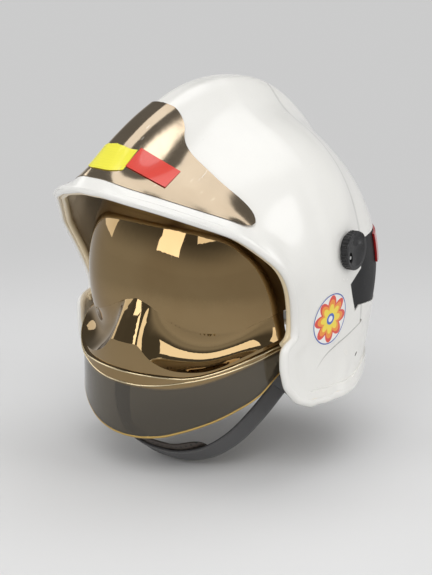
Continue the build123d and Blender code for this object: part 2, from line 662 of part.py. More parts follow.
slot_wall, slot_width = web_wall + 2 * rest_gap, web_width + 2 * rest_gap
clasp_body = clasp_box(clasp_low, clasp_high, clasp_wall, clasp_width)
clasp_body = fillet(clasp_body.edges(), clasp_round)
clasp_body -= clasp_box(clasp_low - overrun, blade_end + rest_gap, blade_wall + 2 * rest_gap,
                        blade_width + 2 * rest_gap)
clasp_body -= clasp_box(web_end_high - rest_gap, clasp_high + overrun, slot_wall, slot_width)
button_top = clasp_wall / 2 + button_stand
button_middle = button_top - button_wall / 2
pocket_floor = button_top - button_wall - button_travel - rest_gap
pocket_wall = clasp_wall - pocket_floor
clasp_body -= clasp_box(button_low - rest_gap, button_high + rest_gap, pocket_wall,
                        button_width + 2 * rest_gap, pocket_floor + pocket_wall / 2)
tongue = clasp_box(root_low, root_high, root_wall, clasp_width)
tongue += clasp_box(root_high - overrun, blade_end, blade_wall, blade_width)
tongue -= clasp_box(root_low - overrun, web_end_low + rest_gap, slot_wall, slot_width)
button = clasp_box(button_low, button_high, button_wall, button_width, button_middle)
anchor_start = half_loop[-1][0] + web_wall + rest_gap
anchor = loop * (Pos(anchor_start + anchor_size, 0, 0) * Box(2 * anchor_size, anchor_size, anchor_size))
anchor_bore = loop * (Rot(0, 90, 0) * Cylinder(anchor_hole_radius + turning_gap, 2 * shell_size, align=(
    Align.CENTER, Align.CENTER, Align.MIN)))
anchor = (anchor & wall_inside) - anchor_bore
rivet_start = half_loop[-1][0] - rivet_stand
rivet = Pos(rivet_start - rivet_head_wall, 0, 0) * Rot(0, 90, 0) * Cylinder(
    rivet_head_radius, rivet_head_wall, align=(Align.CENTER, Align.CENTER, Align.MIN))
rivet += Pos(rivet_start, 0, 0) * Rot(0, 90, 0) * Cylinder(anchor_hole_radius, anchor_size / 2, align=(
    Align.CENTER, Align.CENTER, Align.MIN))
rivet = loop * rivet
long_web = loop * long_web - mirrored(anchor_bore)
short_web = loop * short_web - anchor_bore

save("outer_shell", shell)
save("rear_band", rear_band)
save("rear_reflector", reflector)
save("front_plate", front_plate)
save("marking_middle", middle_marking)
save("marking_left", left_marking)
save("marking_right", mirrored(left_marking))
save("face_shield", visor)
save("knob_boss_left", knob_boss)
save("knob_boss_right", mirrored(knob_boss))
save("knob_shaft_left", knob_shaft)
save("knob_shaft_right", mirrored(knob_shaft))
save("side_knob_left", knob)
save("side_knob_right", mirrored(knob))
save("knob_pin_left", knob_pin)
save("knob_pin_right", mirrored(knob_pin))
save("pivot_block_left", pivot_block)
save("pivot_block_right", mirrored(pivot_block))
save("pivot_bolt_left", pivot_bolt)
save("pivot_bolt_right", mirrored(pivot_bolt))
save("impact_liner", liner)
save("headband", headband)
save("brow_pad", brow_pad)
save("crown_cradle", cradle)
save("cradle_hangers", hangers)
save("nape_band", nape_band)
save("nape_rivet_left", nape_rivet)
save("nape_rivet_right", mirrored(nape_rivet))
save("ratchet_housing", nape * housing)
save("ratchet_dial", nape * dial)
save("chin_web_long", long_web)
save("chin_web_short", short_web)
save("chin_cup", loop * chin_cup)
save("clasp_body", loop * clasp * clasp_body)
save("clasp_tongue", loop * clasp * tongue)
save("clasp_button", loop * clasp * button)
save("strap_anchor_left", anchor)
save("strap_anchor_right", mirrored(anchor))
save("strap_rivet_left", rivet)
save("strap_rivet_right", mirrored(rivet))
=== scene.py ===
import json
import math

import bmesh
import bpy
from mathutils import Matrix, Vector
from mathutils.bvhtree import BVHTree
from mathutils.kdtree import KDTree


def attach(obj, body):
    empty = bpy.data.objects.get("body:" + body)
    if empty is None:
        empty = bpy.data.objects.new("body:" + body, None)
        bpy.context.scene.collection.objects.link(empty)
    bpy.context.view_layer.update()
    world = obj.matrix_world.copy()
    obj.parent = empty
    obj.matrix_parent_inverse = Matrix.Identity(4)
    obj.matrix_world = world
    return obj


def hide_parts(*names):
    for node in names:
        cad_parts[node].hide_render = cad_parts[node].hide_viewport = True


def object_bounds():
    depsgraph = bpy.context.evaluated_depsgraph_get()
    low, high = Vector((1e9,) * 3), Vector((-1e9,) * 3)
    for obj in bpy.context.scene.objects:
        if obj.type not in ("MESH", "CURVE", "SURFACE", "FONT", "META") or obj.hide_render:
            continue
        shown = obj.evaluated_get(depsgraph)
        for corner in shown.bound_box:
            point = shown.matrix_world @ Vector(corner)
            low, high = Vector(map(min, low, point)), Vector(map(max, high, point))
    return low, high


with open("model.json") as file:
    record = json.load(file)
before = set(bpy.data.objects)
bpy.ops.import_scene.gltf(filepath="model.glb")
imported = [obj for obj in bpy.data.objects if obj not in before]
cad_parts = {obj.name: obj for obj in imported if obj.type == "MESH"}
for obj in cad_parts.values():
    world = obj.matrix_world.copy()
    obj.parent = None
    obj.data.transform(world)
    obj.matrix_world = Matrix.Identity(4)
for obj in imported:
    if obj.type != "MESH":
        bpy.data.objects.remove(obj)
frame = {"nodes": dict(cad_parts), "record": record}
boxLow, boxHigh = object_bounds()
print("frame loaded:", len(frame["nodes"]), "nodes")


# Small helpers for node trees
def addNode(tree, kind, place=(0, 0), **settings):
    node = tree.nodes.new(kind)
    node.location = place
    for name, value in settings.items():
        setattr(node, name, value)
    return node


def feed(tree, socket, value):
    # a socket is linked, anything else is set as the default
    if isinstance(value, bpy.types.NodeSocket):
        tree.links.new(value, socket)
    else:
        socket.default_value = value


def maths(tree, operation, first, second=0.0):
    node = addNode(tree, "ShaderNodeMath", operation=operation)
    feed(tree, node.inputs[0], first)
    feed(tree, node.inputs[1], second)
    return node.outputs[0]


def plus(tree, first, second):
    return maths(tree, "ADD", first, second)


def minus(tree, first, second):
    return maths(tree, "SUBTRACT", first, second)


def times(tree, first, second):
    return maths(tree, "MULTIPLY", first, second)


def vectorMaths(tree, operation, first, second=(0.0, 0.0, 0.0)):
    node = addNode(tree, "ShaderNodeVectorMath", operation=operation)
    feed(tree, node.inputs[0], first)
    feed(tree, node.inputs[1], second)
    return node


def partsOf(tree, vector):
    # the x, y and z of a vector
    node = addNode(tree, "ShaderNodeSeparateXYZ")
    feed(tree, node.inputs[0], vector)
    return node.outputs


def stretched(tree, vector, scale, turn=(0.0, 0.0, 0.0)):
    node = addNode(tree, "ShaderNodeMapping")
    feed(tree, node.inputs["Vector"], vector)
    node.inputs["Rotation"].default_value = turn
    node.inputs["Scale"].default_value = scale
    return node.outputs[0]


def fade(tree, value, low, high, start=0.0, end=1.0):
    # a smooth step of value from low to high
    node = addNode(tree, "ShaderNodeMapRange", interpolation_type="SMOOTHSTEP")
    labels = ("Value", "From Min", "From Max", "To Min", "To Max")
    for label, given in zip(labels, (value, low, high, start, end)):
        feed(tree, node.inputs[label], given)
    return node.outputs["Result"]


def mixColours(tree, factor, first, second, blend="MIX"):
    # a plain colour is given without its alpha
    node = addNode(tree, "ShaderNodeMix", data_type="RGBA", blend_type=blend)
    feed(tree, node.inputs["Factor"], factor)
    for n, given in ((6, first), (7, second)):
        feed(tree, node.inputs[n], (*given, 1.0) if isinstance(given, tuple) else given)
    return node.outputs[2]


def shaded(tree, base, shade):
    return mixColours(tree, 1.0, base, shade, "MULTIPLY")


def noise(tree, vector, scale, detail=2.0, roughness=0.5):
    node = addNode(tree, "ShaderNodeTexNoise")
    feed(tree, node.inputs["Vector"], vector)
    node.inputs["Scale"].default_value = scale
    node.inputs["Detail"].default_value = detail
    node.inputs["Roughness"].default_value = roughness
    return node.outputs["Fac"]


def cells(tree, vector, scale, randomness=1.0, **settings):
    node = addNode(tree, "ShaderNodeTexVoronoi", **settings)
    feed(tree, node.inputs["Vector"], vector)
    node.inputs["Scale"].default_value = scale
    node.inputs["Randomness"].default_value = randomness
    return node.outputs["Distance"]


def openGroup(name, inputs, outputs):
    # an input without a value is a vector, and everything else is a float
    group = bpy.data.node_groups.new(name, "ShaderNodeTree")
    for label, value in inputs.items():
        kind = "NodeSocketVector" if value is None else "NodeSocketFloat"
        socket = group.interface.new_socket(label, in_out="INPUT", socket_type=kind)
        if value is not None:
            socket.default_value = value
    for label in outputs:
        group.interface.new_socket(label, in_out="OUTPUT", socket_type="NodeSocketFloat")
    return group, addNode(group, "NodeGroupInput"), addNode(group, "NodeGroupOutput", (800, 0))


def useGroup(tree, group, **values):
    node = addNode(tree, "ShaderNodeGroup")
    node.node_tree = group
    for name, value in values.items():
        feed(tree, node.inputs[name], value)
    return node.outputs


# Shared effects: handled grain, light scratches with dust, and the weave of a strap with painted shade and
# light on its yarns
grainLook = {"detail": 3.0, "fineRoughness": 0.6, "broadScale": 38.0, "broadRoughness": 0.55}
wearLook = {"turn": (0.4, 0.9, 0.3), "stretch": (520.0, 45.0, 60.0), "lineRoughness": 0.4,
            "lines": (0.69, 0.74), "patchScale": 26.0, "patches": (0.5, 0.62), "speckScale": 900.0,
            "specks": (0.68, 0.76)}
weaveLook = {"dark": 0.72, "light": 0.4}


def buildGrain():
    group, given, made = openGroup("fineGrain", {"Vector": None, "Size": 0.001, "Mottle": 0.03},
                                   ("Height", "Shade"))
    look, place = grainLook, given.outputs["Vector"]
    scaled = vectorMaths(group, "SCALE", place)
    feed(group, scaled.inputs["Scale"], maths(group, "DIVIDE", 1.0, given.outputs["Size"]))
    fine = noise(group, scaled.outputs[0], 1.0, look["detail"], look["fineRoughness"])
    broad = noise(group, place, look["broadScale"], look["detail"], look["broadRoughness"])
    drift = times(group, minus(group, broad, 0.5), given.outputs["Mottle"])
    feed(group, made.inputs["Height"], fine)
    feed(group, made.inputs["Shade"], plus(group, 1.0, drift))
    return group


def buildWear():
    group, given, made = openGroup("scratchDust", {"Vector": None, "Amount": 0.5}, ("Mask", "Dust"))
    look, place, amount = wearLook, given.outputs["Vector"], given.outputs["Amount"]
    drawn = stretched(group, place, look["stretch"], look["turn"])
    lines = noise(group, drawn, 1.0, roughness=look["lineRoughness"])
    patches = noise(group, place, look["patchScale"])
    scratch = times(group, fade(group, lines, *look["lines"]), fade(group, patches, *look["patches"]))
    feed(group, made.inputs["Mask"], times(group, scratch, amount))
    specks = noise(group, place, look["speckScale"], detail=1.0)
    feed(group, made.inputs["Dust"], times(group, fade(group, specks, *look["specks"]), amount))
    return group


def buildWeave():
    group, given, made = openGroup("strapWeave", {"Vector": None, "Pitch": 0.0016}, ("Height", "Shade"))
    parts = partsOf(group, given.outputs["Vector"])
    turns = maths(group, "DIVIDE", 2 * math.pi, given.outputs["Pitch"])
    across = maths(group, "SINE", times(group, parts[0], turns))
    # every other yarn goes under where its neighbour goes over
    shift = times(group, maths(group, "SIGN", across), math.pi / 2)
    along = maths(group, "ABSOLUTE", maths(group, "SINE", plus(group, times(group, parts[1], turns), shift)))
    height = times(group, maths(group, "ABSOLUTE", across), along)
    feed(group, made.inputs["Height"], height)
    # the Shade follows the yarns' height: painted shade between them and painted light on their tops
    lit = times(group, height, weaveLook["light"])
    feed(group, made.inputs["Shade"], plus(group, weaveLook["dark"], lit))
    return group


grainGroup = buildGrain()
wearGroup = buildWear()
weaveGroup = buildWeave()


def startMaterial(name):
    material = bpy.data.materials.new(name)
    material.use_nodes = True
    tree = material.node_tree
    place = addNode(tree, "ShaderNodeTexCoord", (-900, 0))
    return material, tree, tree.nodes["Principled BSDF"], place.outputs["Object"], place.outputs["UV"]


def bump(tree, shader, height, strength, distance):
    node = addNode(tree, "ShaderNodeBump")
    node.inputs["Strength"].default_value = strength
    node.inputs["Distance"].default_value = distance
    feed(tree, node.inputs["Height"], height)
    tree.links.new(node.outputs[0], shader.inputs["Normal"])


def setCoat(shader, weight, roughness):
    shader.inputs["Coat Weight"].default_value = weight
    shader.inputs["Coat Roughness"].default_value = roughness


def scratchedRoughness(tree, roughness, marks, share):
    return plus(tree, roughness, times(tree, marks["Mask"], share))


plasticLook = {"mottle": 0.25, "dust": (0.5, 0.48, 0.45), "dustShare": 0.3, "scratchShare": 0.25,
               "coatRoughness": 0.12, "bumpHeight": 0.0001}


def plasticMaterial(name, base, roughness, grain, strength=0.25, coat=0.0, wear=0.4, shine=0.5):
    material, tree, shader, place, uv = startMaterial(name)
    look = plasticLook
    fine = useGroup(tree, grainGroup, Vector=place, Size=grain, Mottle=look["mottle"])
    marks = useGroup(tree, wearGroup, Vector=place, Amount=wear)
    dusty = mixColours(tree, times(tree, marks["Dust"], look["dustShare"]), shaded(tree, base, fine["Shade"]),
                       look["dust"])
    feed(tree, shader.inputs["Base Color"], dusty)
    feed(tree, shader.inputs["Roughness"], scratchedRoughness(tree, roughness, marks, look["scratchShare"]))
    shader.inputs["Specular IOR Level"].default_value = shine
    setCoat(shader, coat, look["coatRoughness"])
    bump(tree, shader, fine["Height"], strength, look["bumpHeight"])
    return material


metalLook = {"brush": (150.0, 2400.0, 2400.0), "detail": 3.0, "wear": 0.6, "dark": 0.9, "light": 0.2,
             "scratchShare": 0.2, "bumpHeight": 0.00004}


def metalMaterial(name, base, roughness, brushed=0.0):
    material, tree, shader, place, uv = startMaterial(name)
    look = metalLook
    lines = noise(tree, stretched(tree, place, look["brush"]), 1.0, look["detail"])
    marks = useGroup(tree, wearGroup, Vector=place, Amount=look["wear"])
    shade = plus(tree, look["dark"], times(tree, lines, look["light"]))
    feed(tree, shader.inputs["Base Color"], shaded(tree, base, shade))
    feed(tree, shader.inputs["Roughness"], scratchedRoughness(tree, roughness, marks, look["scratchShare"]))
    shader.inputs["Metallic"].default_value = 1.0
    bump(tree, shader, lines, brushed, look["bumpHeight"])
    return material


fabricLook = {"grain": 0.0006, "mottle": 0.5, "yarnTopLight": (0.55, 1.0), "yarnTopHighlight": (0.42, 0.41, 0.4),
              "roughness": 0.85, "sheen": 0.25, "fuzz": 0.3, "strength": 0.7, "bumpHeight": 0.0004}


def fabricMaterial(name, base, pitch, light):
    material, tree, shader, place, uv = startMaterial(name)
    look = fabricLook
    weave = useGroup(tree, weaveGroup, Vector=uv, Pitch=pitch)
    fine = useGroup(tree, grainGroup, Vector=place, Size=look["grain"], Mottle=look["mottle"])
    # the weave's Shade is painted shade and light, and the yarns' raised tops are painted paler as highlights
    dyedAndShaded = shaded(tree, base, times(tree, weave["Shade"], fine["Shade"]))
    yarnTopLight = fade(tree, weave["Height"], *look["yarnTopLight"], 0.0, light)
    feed(tree, shader.inputs["Base Color"], mixColours(tree, yarnTopLight, dyedAndShaded, look["yarnTopHighlight"]))
    shader.inputs["Roughness"].default_value = look["roughness"]
    shader.inputs["Sheen Weight"].default_value = look["sheen"]
    height = plus(tree, weave["Height"], times(tree, fine["Height"], look["fuzz"]))
    bump(tree, shader, height, look["strength"], look["bumpHeight"])
    return material


# The shell's gloss white, cream on faces that look inward, with a moulded crease and a slot behind the ear
# painted as a dark oval of shade
shellLook = {"white": (0.80, 0.79, 0.755), "cream": (0.76, 0.66, 0.5), "stain": (0.5, 0.46, 0.4),
             "dust": (0.3, 0.28, 0.25), "dark": (0.02, 0.02, 0.02), "stainShare": 0.35, "dustShare": 0.12,
             "roughness": 0.22, "scratchShare": 0.2, "insideRoughness": 0.3, "coat": 0.35,
             "coatRoughness": 0.1, "grain": 0.004, "mottle": 0.04, "wear": 0.5, "grainRelief": 0.004,
             "bumpHeight": 0.0011,
             "middle": (0.0, 0.0, 0.02), "creamBlend": 0.15, "sideways": (0.45, 0.65),
             "flapTop": (-0.02, 0.0),
             "creaseLevel": -0.0458, "creaseSlope": 0.285, "creaseBend": -14.4, "creaseFront": 0.006,
             "creaseStart": (-0.018, 0.0), "creaseEnd": (0.049, 0.045), "creaseStep": 0.0007,
             "slot": (0.0417, -0.0576), "slotTurn": 0.7, "slotHalf": (0.0021, 0.0007),
             "slotEdge": (1.25, 0.8)}


def insideMask(tree, place, parts, creamBelow):
    # faces that look back at the middle of the head are the inside
    away = vectorMaths(tree, "SUBTRACT", place, shellLook["middle"]).outputs[0]
    outward = vectorMaths(tree, "NORMALIZE", away).outputs[0]
    square = addNode(tree, "ShaderNodeTexCoord").outputs["Normal"]
    facing = vectorMaths(tree, "DOT_PRODUCT", outward, square).outputs["Value"]
    inside = fade(tree, facing, creamBelow - shellLook["creamBlend"], creamBelow, 1.0, 0.0)
    if creamBelow >= 0:
        return inside
    # on the ear flaps only faces that look sideways are inside, not the step of the rim
    sideways = fade(tree, maths(tree, "ABSOLUTE", partsOf(tree, square)[0]), *shellLook["sideways"])
    kept = maths(tree, "MAXIMUM", sideways, fade(tree, parts[2], *shellLook["flapTop"]))
    return times(tree, inside, kept)


def creaseStep(tree, parts):
    # the crease runs down and forward from the cape screw
    look = shellLook
    ahead = maths(tree, "MAXIMUM", minus(tree, look["creaseFront"], parts[1]), 0.0)
    bend = times(tree, times(tree, ahead, ahead), look["creaseBend"])
    level = plus(tree, times(tree, parts[1], look["creaseSlope"]), look["creaseLevel"])
    above = minus(tree, parts[2], plus(tree, level, bend))
    step = fade(tree, above, -look["creaseStep"], look["creaseStep"])
    reach = times(tree, fade(tree, parts[1], *look["creaseStart"]), fade(tree, parts[1], *look["creaseEnd"]))
    return times(tree, step, reach)


def slotShadeSpot(tree, parts):
    # the slot's opening is a small dark oval of painted shade
    look = shellLook
    slotY, slotZ = minus(tree, parts[1], look["slot"][0]), minus(tree, parts[2], look["slot"][1])
    cosine, sine = math.cos(look["slotTurn"]), math.sin(look["slotTurn"])
    along = plus(tree, times(tree, slotY, cosine), times(tree, slotZ, sine))
    across = minus(tree, times(tree, slotZ, cosine), times(tree, slotY, sine))
    squares = [maths(tree, "POWER", maths(tree, "DIVIDE", reach, half), 2.0)
               for reach, half in zip((along, across), look["slotHalf"])]
    return fade(tree, plus(tree, *squares), *look["slotEdge"])


def shellMaterial(name, creamBelow):
    material, tree, shader, place, uv = startMaterial(name)
    look = shellLook
    fine = useGroup(tree, grainGroup, Vector=place, Size=look["grain"], Mottle=look["mottle"])
    marks = useGroup(tree, wearGroup, Vector=place, Amount=look["wear"])
    parts = partsOf(tree, place)
    inside = insideMask(tree, place, parts, creamBelow)
    slot = slotShadeSpot(tree, parts)
    paint = shaded(tree, look["white"], fine["Shade"])
    # the near black mixed in last is painted shade for the slot's opening
    for mask, ink in ((times(tree, marks["Mask"], look["stainShare"]), look["stain"]),
                      (times(tree, marks["Dust"], look["dustShare"]), look["dust"]),
                      (inside, look["cream"]), (slot, look["dark"])):
        paint = mixColours(tree, mask, paint, ink)
    feed(tree, shader.inputs["Base Color"], paint)
    rough = scratchedRoughness(tree, look["roughness"], marks, look["scratchShare"])
    feed(tree, shader.inputs["Roughness"], plus(tree, rough, times(tree, inside, look["insideRoughness"])))
    setCoat(shader, look["coat"], look["coatRoughness"])
    height = plus(tree, creaseStep(tree, parts), times(tree, fine["Height"], look["grainRelief"]))
    bump(tree, shader, minus(tree, height, slot), 1.0, look["bumpHeight"])
    return material


# Gold coating of the visor, clouded a little, and a smoky clear skirt below its lip
visorLook = {"gold": (0.3, 0.212, 0.108), "deep": (0.2, 0.122, 0.05), "smoke": (0.12, 0.1, 0.07),
             "clear": 0.7, "cloudScale": 14.0, "cloudDetail": 3.0, "clouds": (0.35, 0.7, 0.0, 0.4),
             "wear": 0.6, "roughness": 0.03, "scratchShare": 0.12,
             "lipMiddle": -0.0635, "lipRise": 0.0293, "lipHalf": 0.098, "lipPower": 3.2, "lipFade": 0.003}


def visorMaterial():
    material, tree, shader, place, uv = startMaterial("goldMirrorVisor")
    look, parts = visorLook, partsOf(tree, place)
    side = maths(tree, "DIVIDE", maths(tree, "ABSOLUTE", parts[0]), look["lipHalf"])
    side = maths(tree, "MINIMUM", side, 1.0)
    rise = times(tree, maths(tree, "POWER", side, look["lipPower"]), look["lipRise"])
    below = minus(tree, plus(tree, rise, look["lipMiddle"]), parts[2])
    skirt = fade(tree, below, 0.0, look["lipFade"])
    marks = useGroup(tree, wearGroup, Vector=place, Amount=look["wear"])
    cloud = fade(tree, noise(tree, place, look["cloudScale"], look["cloudDetail"]), *look["clouds"])
    gold = mixColours(tree, cloud, look["gold"], look["deep"])
    feed(tree, shader.inputs["Base Color"], mixColours(tree, skirt, gold, look["smoke"]))
    feed(tree, shader.inputs["Metallic"], minus(tree, 1.0, skirt))
    feed(tree, shader.inputs["Transmission Weight"], times(tree, skirt, look["clear"]))
    rough = scratchedRoughness(tree, look["roughness"], marks, look["scratchShare"])
    feed(tree, shader.inputs["Roughness"], rough)
    return material


plateLook = {"gold": (0.6, 0.49, 0.36), "deep": (0.42, 0.32, 0.21), "scratch": (0.9, 0.85, 0.75), "wear": 0.8,
             "cloudScale": 20.0, "cloudDetail": 3.0, "clouds": (0.3, 0.7, 0.0, 0.4), "roughness": 0.15,
             "scratchShare": 0.2}


def mirrorPlateMaterial():
    material, tree, shader, place, uv = startMaterial("paleGoldPlate")
    look = plateLook
    marks = useGroup(tree, wearGroup, Vector=place, Amount=look["wear"])
    cloud = fade(tree, noise(tree, place, look["cloudScale"], look["cloudDetail"]), *look["clouds"])
    gold = mixColours(tree, cloud, look["gold"], look["deep"])
    feed(tree, shader.inputs["Base Color"], mixColours(tree, marks["Mask"], gold, look["scratch"]))
    shader.inputs["Metallic"].default_value = 1.0
    rough = scratchedRoughness(tree, look["roughness"], marks, look["scratchShare"])
    feed(tree, shader.inputs["Roughness"], rough)
    return material


# Reflective tape and reflector: a fine honeycomb of tiny prisms under a clear coat
tapeLook = {"walls": (0.02, 0.1), "wallShade": 0.9, "wear": 0.6, "scratch": (0.7, 0.68, 0.64),
            "scratchShare": 0.3, "roughness": 0.3, "coat": 0.7, "coatRoughness": 0.06, "strength": 0.04,
            "bumpHeight": 0.00005}


def tapeMaterial(name, base, cell):
    material, tree, shader, place, uv = startMaterial(name)
    look = tapeLook
    walls = fade(tree, cells(tree, place, 1.0 / cell, 0.0, feature="DISTANCE_TO_EDGE"), *look["walls"])
    marks = useGroup(tree, wearGroup, Vector=place, Amount=look["wear"])
    painted = mixColours(tree, walls, tuple(look["wallShade"] * channel for channel in base), base)
    scratched = mixColours(tree, times(tree, marks["Mask"], look["scratchShare"]), painted, look["scratch"])
    feed(tree, shader.inputs["Base Color"], scratched)
    shader.inputs["Roughness"].default_value = look["roughness"]
    setCoat(shader, look["coat"], look["coatRoughness"])
    bump(tree, shader, walls, look["strength"], look["bumpHeight"])
    return material


foamLook = {"base": (0.055, 0.055, 0.058), "beadScale": 330.0, "beads": (0.1, 0.7, 1.15, 0.6),
            "roughness": 0.8, "strength": 0.4, "bumpHeight": 0.0005}


def foamMaterial():
    material, tree, shader, place, uv = startMaterial("linerFoam")
    look = foamLook
    beads = cells(tree, place, look["beadScale"])
    # each bead is painted lighter in its middle and darker at its seams, painted light and shade that follow
    # the bump
    feed(tree, shader.inputs["Base Color"], shaded(tree, look["base"], fade(tree, beads, *look["beads"])))
    shader.inputs["Roughness"].default_value = look["roughness"]
    bump(tree, shader, minus(tree, 1.0, beads), look["strength"], look["bumpHeight"])
    return material


# Leather with fine pores and rows of punched holes, the holes painted near black as the shade inside them
leatherLook = {"base": (0.075, 0.06, 0.05), "holes": (0.008, 0.008, 0.008), "poreScale": 900.0,
               "poreRelief": 0.4, "holeScale": 210.0, "holeEdge": (0.16, 0.22), "grain": 0.0012,
               "mottle": 0.5, "roughness": 0.55, "strength": 0.5, "bumpHeight": 0.0003}


def leatherMaterial():
    material, tree, shader, place, uv = startMaterial("padLeather")
    look = leatherLook
    pores = cells(tree, place, look["poreScale"])
    solid = fade(tree, cells(tree, uv, look["holeScale"], 0.0), *look["holeEdge"])
    fine = useGroup(tree, grainGroup, Vector=place, Size=look["grain"], Mottle=look["mottle"])
    dyedAndShaded = shaded(tree, look["base"], fine["Shade"])
    # the near black in the holes is painted shade
    feed(tree, shader.inputs["Base Color"], mixColours(tree, solid, look["holes"], dyedAndShaded))
    shader.inputs["Roughness"].default_value = look["roughness"]
    height = plus(tree, times(tree, pores, look["poreRelief"]), solid)
    bump(tree, shader, height, look["strength"], look["bumpHeight"])
    return material


materials = {
    "shell": shellMaterial("glossWhiteShell", creamBelow=-0.2),
    "visor": visorMaterial(),
    "plate": mirrorPlateMaterial(),
    "trim": plasticMaterial("blackTrim", (0.012, 0.012, 0.013), roughness=0.5, grain=0.0009, strength=0.35,
                            shine=0.2),
    "knob": plasticMaterial("knobPlastic", (0.014, 0.014, 0.015), roughness=0.36, grain=0.0007, strength=0.4,
                            wear=0.8),
    "band": plasticMaterial("harnessPlastic", (0.05, 0.05, 0.055), roughness=0.4, grain=0.0008),
    "buckle": plasticMaterial("bucklePlastic", (0.035, 0.035, 0.038), roughness=0.35, grain=0.0006, wear=0.8),
    "button": plasticMaterial("buttonPlastic", (0.5, 0.03, 0.025), roughness=0.35, grain=0.0006),
    "steel": metalMaterial("brushedSteel", (0.62, 0.62, 0.61), roughness=0.25, brushed=0.3),
    "reflector": tapeMaterial("redReflector", (0.5, 0.02, 0.02), cell=0.0024),
    "yellow_marking": tapeMaterial("yellowTape", (0.86, 0.8, 0.06), cell=0.0016),
    "red_marking": tapeMaterial("redTape", (0.72, 0.06, 0.04), cell=0.0016),
    "black_marking": tapeMaterial("blackTape", (0.02, 0.02, 0.02), cell=0.0016),
    "liner": foamMaterial(),
    "pad": leatherMaterial(),
    "webbing": fabricMaterial("chinWebbing", (0.035, 0.035, 0.038), pitch=0.0017, light=0.5),
    "cradle": fabricMaterial("cradleWebbing", (0.1, 0.1, 0.105), pitch=0.0014, light=0.25),
}
# Finishes of the forms that only the scene has
rimPaint = shellMaterial("glossWhiteRim", creamBelow=0.0)
creamEdge = plasticMaterial("creamEdge", (0.72, 0.6, 0.4), roughness=0.35, grain=0.0012, strength=0.15,
                            coat=0.3)
hemGold = metalMaterial("goldHem", (0.62, 0.42, 0.14), roughness=0.2)
# beads of paler gold that paint highlights along the two edges of the visor's lip
lipHighlightGold = metalMaterial("lipHighlightEdge", (0.8, 0.68, 0.45), roughness=0.15)
thread = plasticMaterial("thread", (0.3, 0.29, 0.27), roughness=0.7, grain=0.0003, strength=0.1, wear=0.0)
slotOf = {entry["node"]: entry["material_slot"] for entry in frame["record"]["subparts"]}
bodyOf = {node: body for body, members in frame["record"]["behaviour"]["bodies"].items() for node in members}
print("materials made:", len(materials))


def dress(piece, material):
    piece.data.materials.clear()
    piece.data.materials.append(material)


def finishPiece(name, mesh, body, material, replaced=()):
    piece = bpy.data.objects.new(name, mesh)
    bpy.context.scene.collection.objects.link(piece)
    dress(piece, material)
    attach(piece, body)
    if replaced:
        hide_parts(*replaced)
    return piece


# Rigid CAD pieces keep their meshes and are only painted
softNodes = ["brow_pad", "chin_cup", "crown_cradle", "chin_web_long", "chin_web_short"]
for node in frame["nodes"]:
    if node not in softNodes:
        dress(frame["nodes"][node], materials[slotOf[node]])
print("CAD pieces dressed")


# Rings of points joined into one closed, smooth piece with its own map in metres
def ringMesh(name, rings, maps):
    work = bmesh.new()
    rows = [[work.verts.new(point) for point in ring] for ring in rings]
    layer = work.loops.layers.uv.new("pieceMap")
    count = len(rings[0])
    for k in range(len(rows) - 1):
        for n in range(count):
            after = (n + 1) % count
            face = work.faces.new((rows[k][n], rows[k][after], rows[k + 1][after], rows[k + 1][n]))
            corners = (maps[k][n], maps[k][n + 1], maps[k + 1][n + 1], maps[k + 1][n])
            for loop, corner in zip(face.loops, corners):
                loop[layer].uv = corner
    for row in (rows[0], rows[-1]):
        work.faces.new(row)
    bmesh.ops.recalc_face_normals(work, faces=work.faces)
    mesh = bpy.data.meshes.new(name)
    work.to_mesh(mesh)
    work.free()
    mesh.shade_smooth()
    return mesh


def smoothLine(points, steps):
    # a curve through every point, rounded at each from its neighbours
    line = []
    padded = [2 * points[0] - points[1], *points, 2 * points[-1] - points[-2]]
    for a, b, c, d in zip(padded, padded[1:], padded[2:], padded[3:]):
        for k in range(steps):
            t = k / steps
            line.append(0.5 * (2 * b + (c - a) * t + (2 * a - 5 * b + 4 * c - d) * t ** 2
                               + (3 * b - a - 3 * c + d) * t ** 3))
    return line + [points[-1]]


def lineFrames(line, across):
    # place, outward direction and distance along, for each point of a line
    frames, travelled = [], 0.0
    for k, place in enumerate(line):
        tangent = (line[min(k + 1, len(line) - 1)] - line[max(k - 1, 0)]).normalized()
        outward = tangent.cross(across).normalized()
        if k:
            travelled += (place - line[k - 1]).length
        frames.append((place, outward, travelled))
    return frames


def outwardSign(lineFrame, middle):
    # 1 where the outward direction leads away from the middle, -1 where it leads back
    place, outward, travelled = lineFrame
    return 1 if outward.dot(place - middle) > 0 else -1


# Half of a strap's section, with rounded selvedges a little thicker than its middle
strapSection = [(-0.5, 0.4), (-0.485, 0.85), (-0.46, 1.0), (-0.3, 0.96), (0.0, 0.96), (0.3, 0.96),
                (0.46, 1.0), (0.485, 0.85), (0.5, 0.4)]


def ribbonMesh(name, frames, across, width, low, high):
    # flat strap between two offsets along its outward direction
    middle, half = (low + high) / 2, (high - low) / 2
    section = strapSection + [(side, -height) for side, height in strapSection[::-1]]
    rings, maps = [], []
    for place, outward, travelled in frames:
        rings.append([place + across * side * width + outward * (middle + half * height)
                      for side, height in section])
        around = [(side * width, travelled) for side, height in section]
        maps.append(around + around[:1])
    return ringMesh(name, rings, maps)


# A stuffed pad's section, how it narrows at its ends, and how it puffs between its sewn channels
padForm = {"around": 28, "sidePower": 0.45, "topPower": 0.75, "narrowEnd": 0.55, "flatEnd": 0.35,
           "closedEnd": 0.03, "puff": 1.6, "puffPower": 0.5}


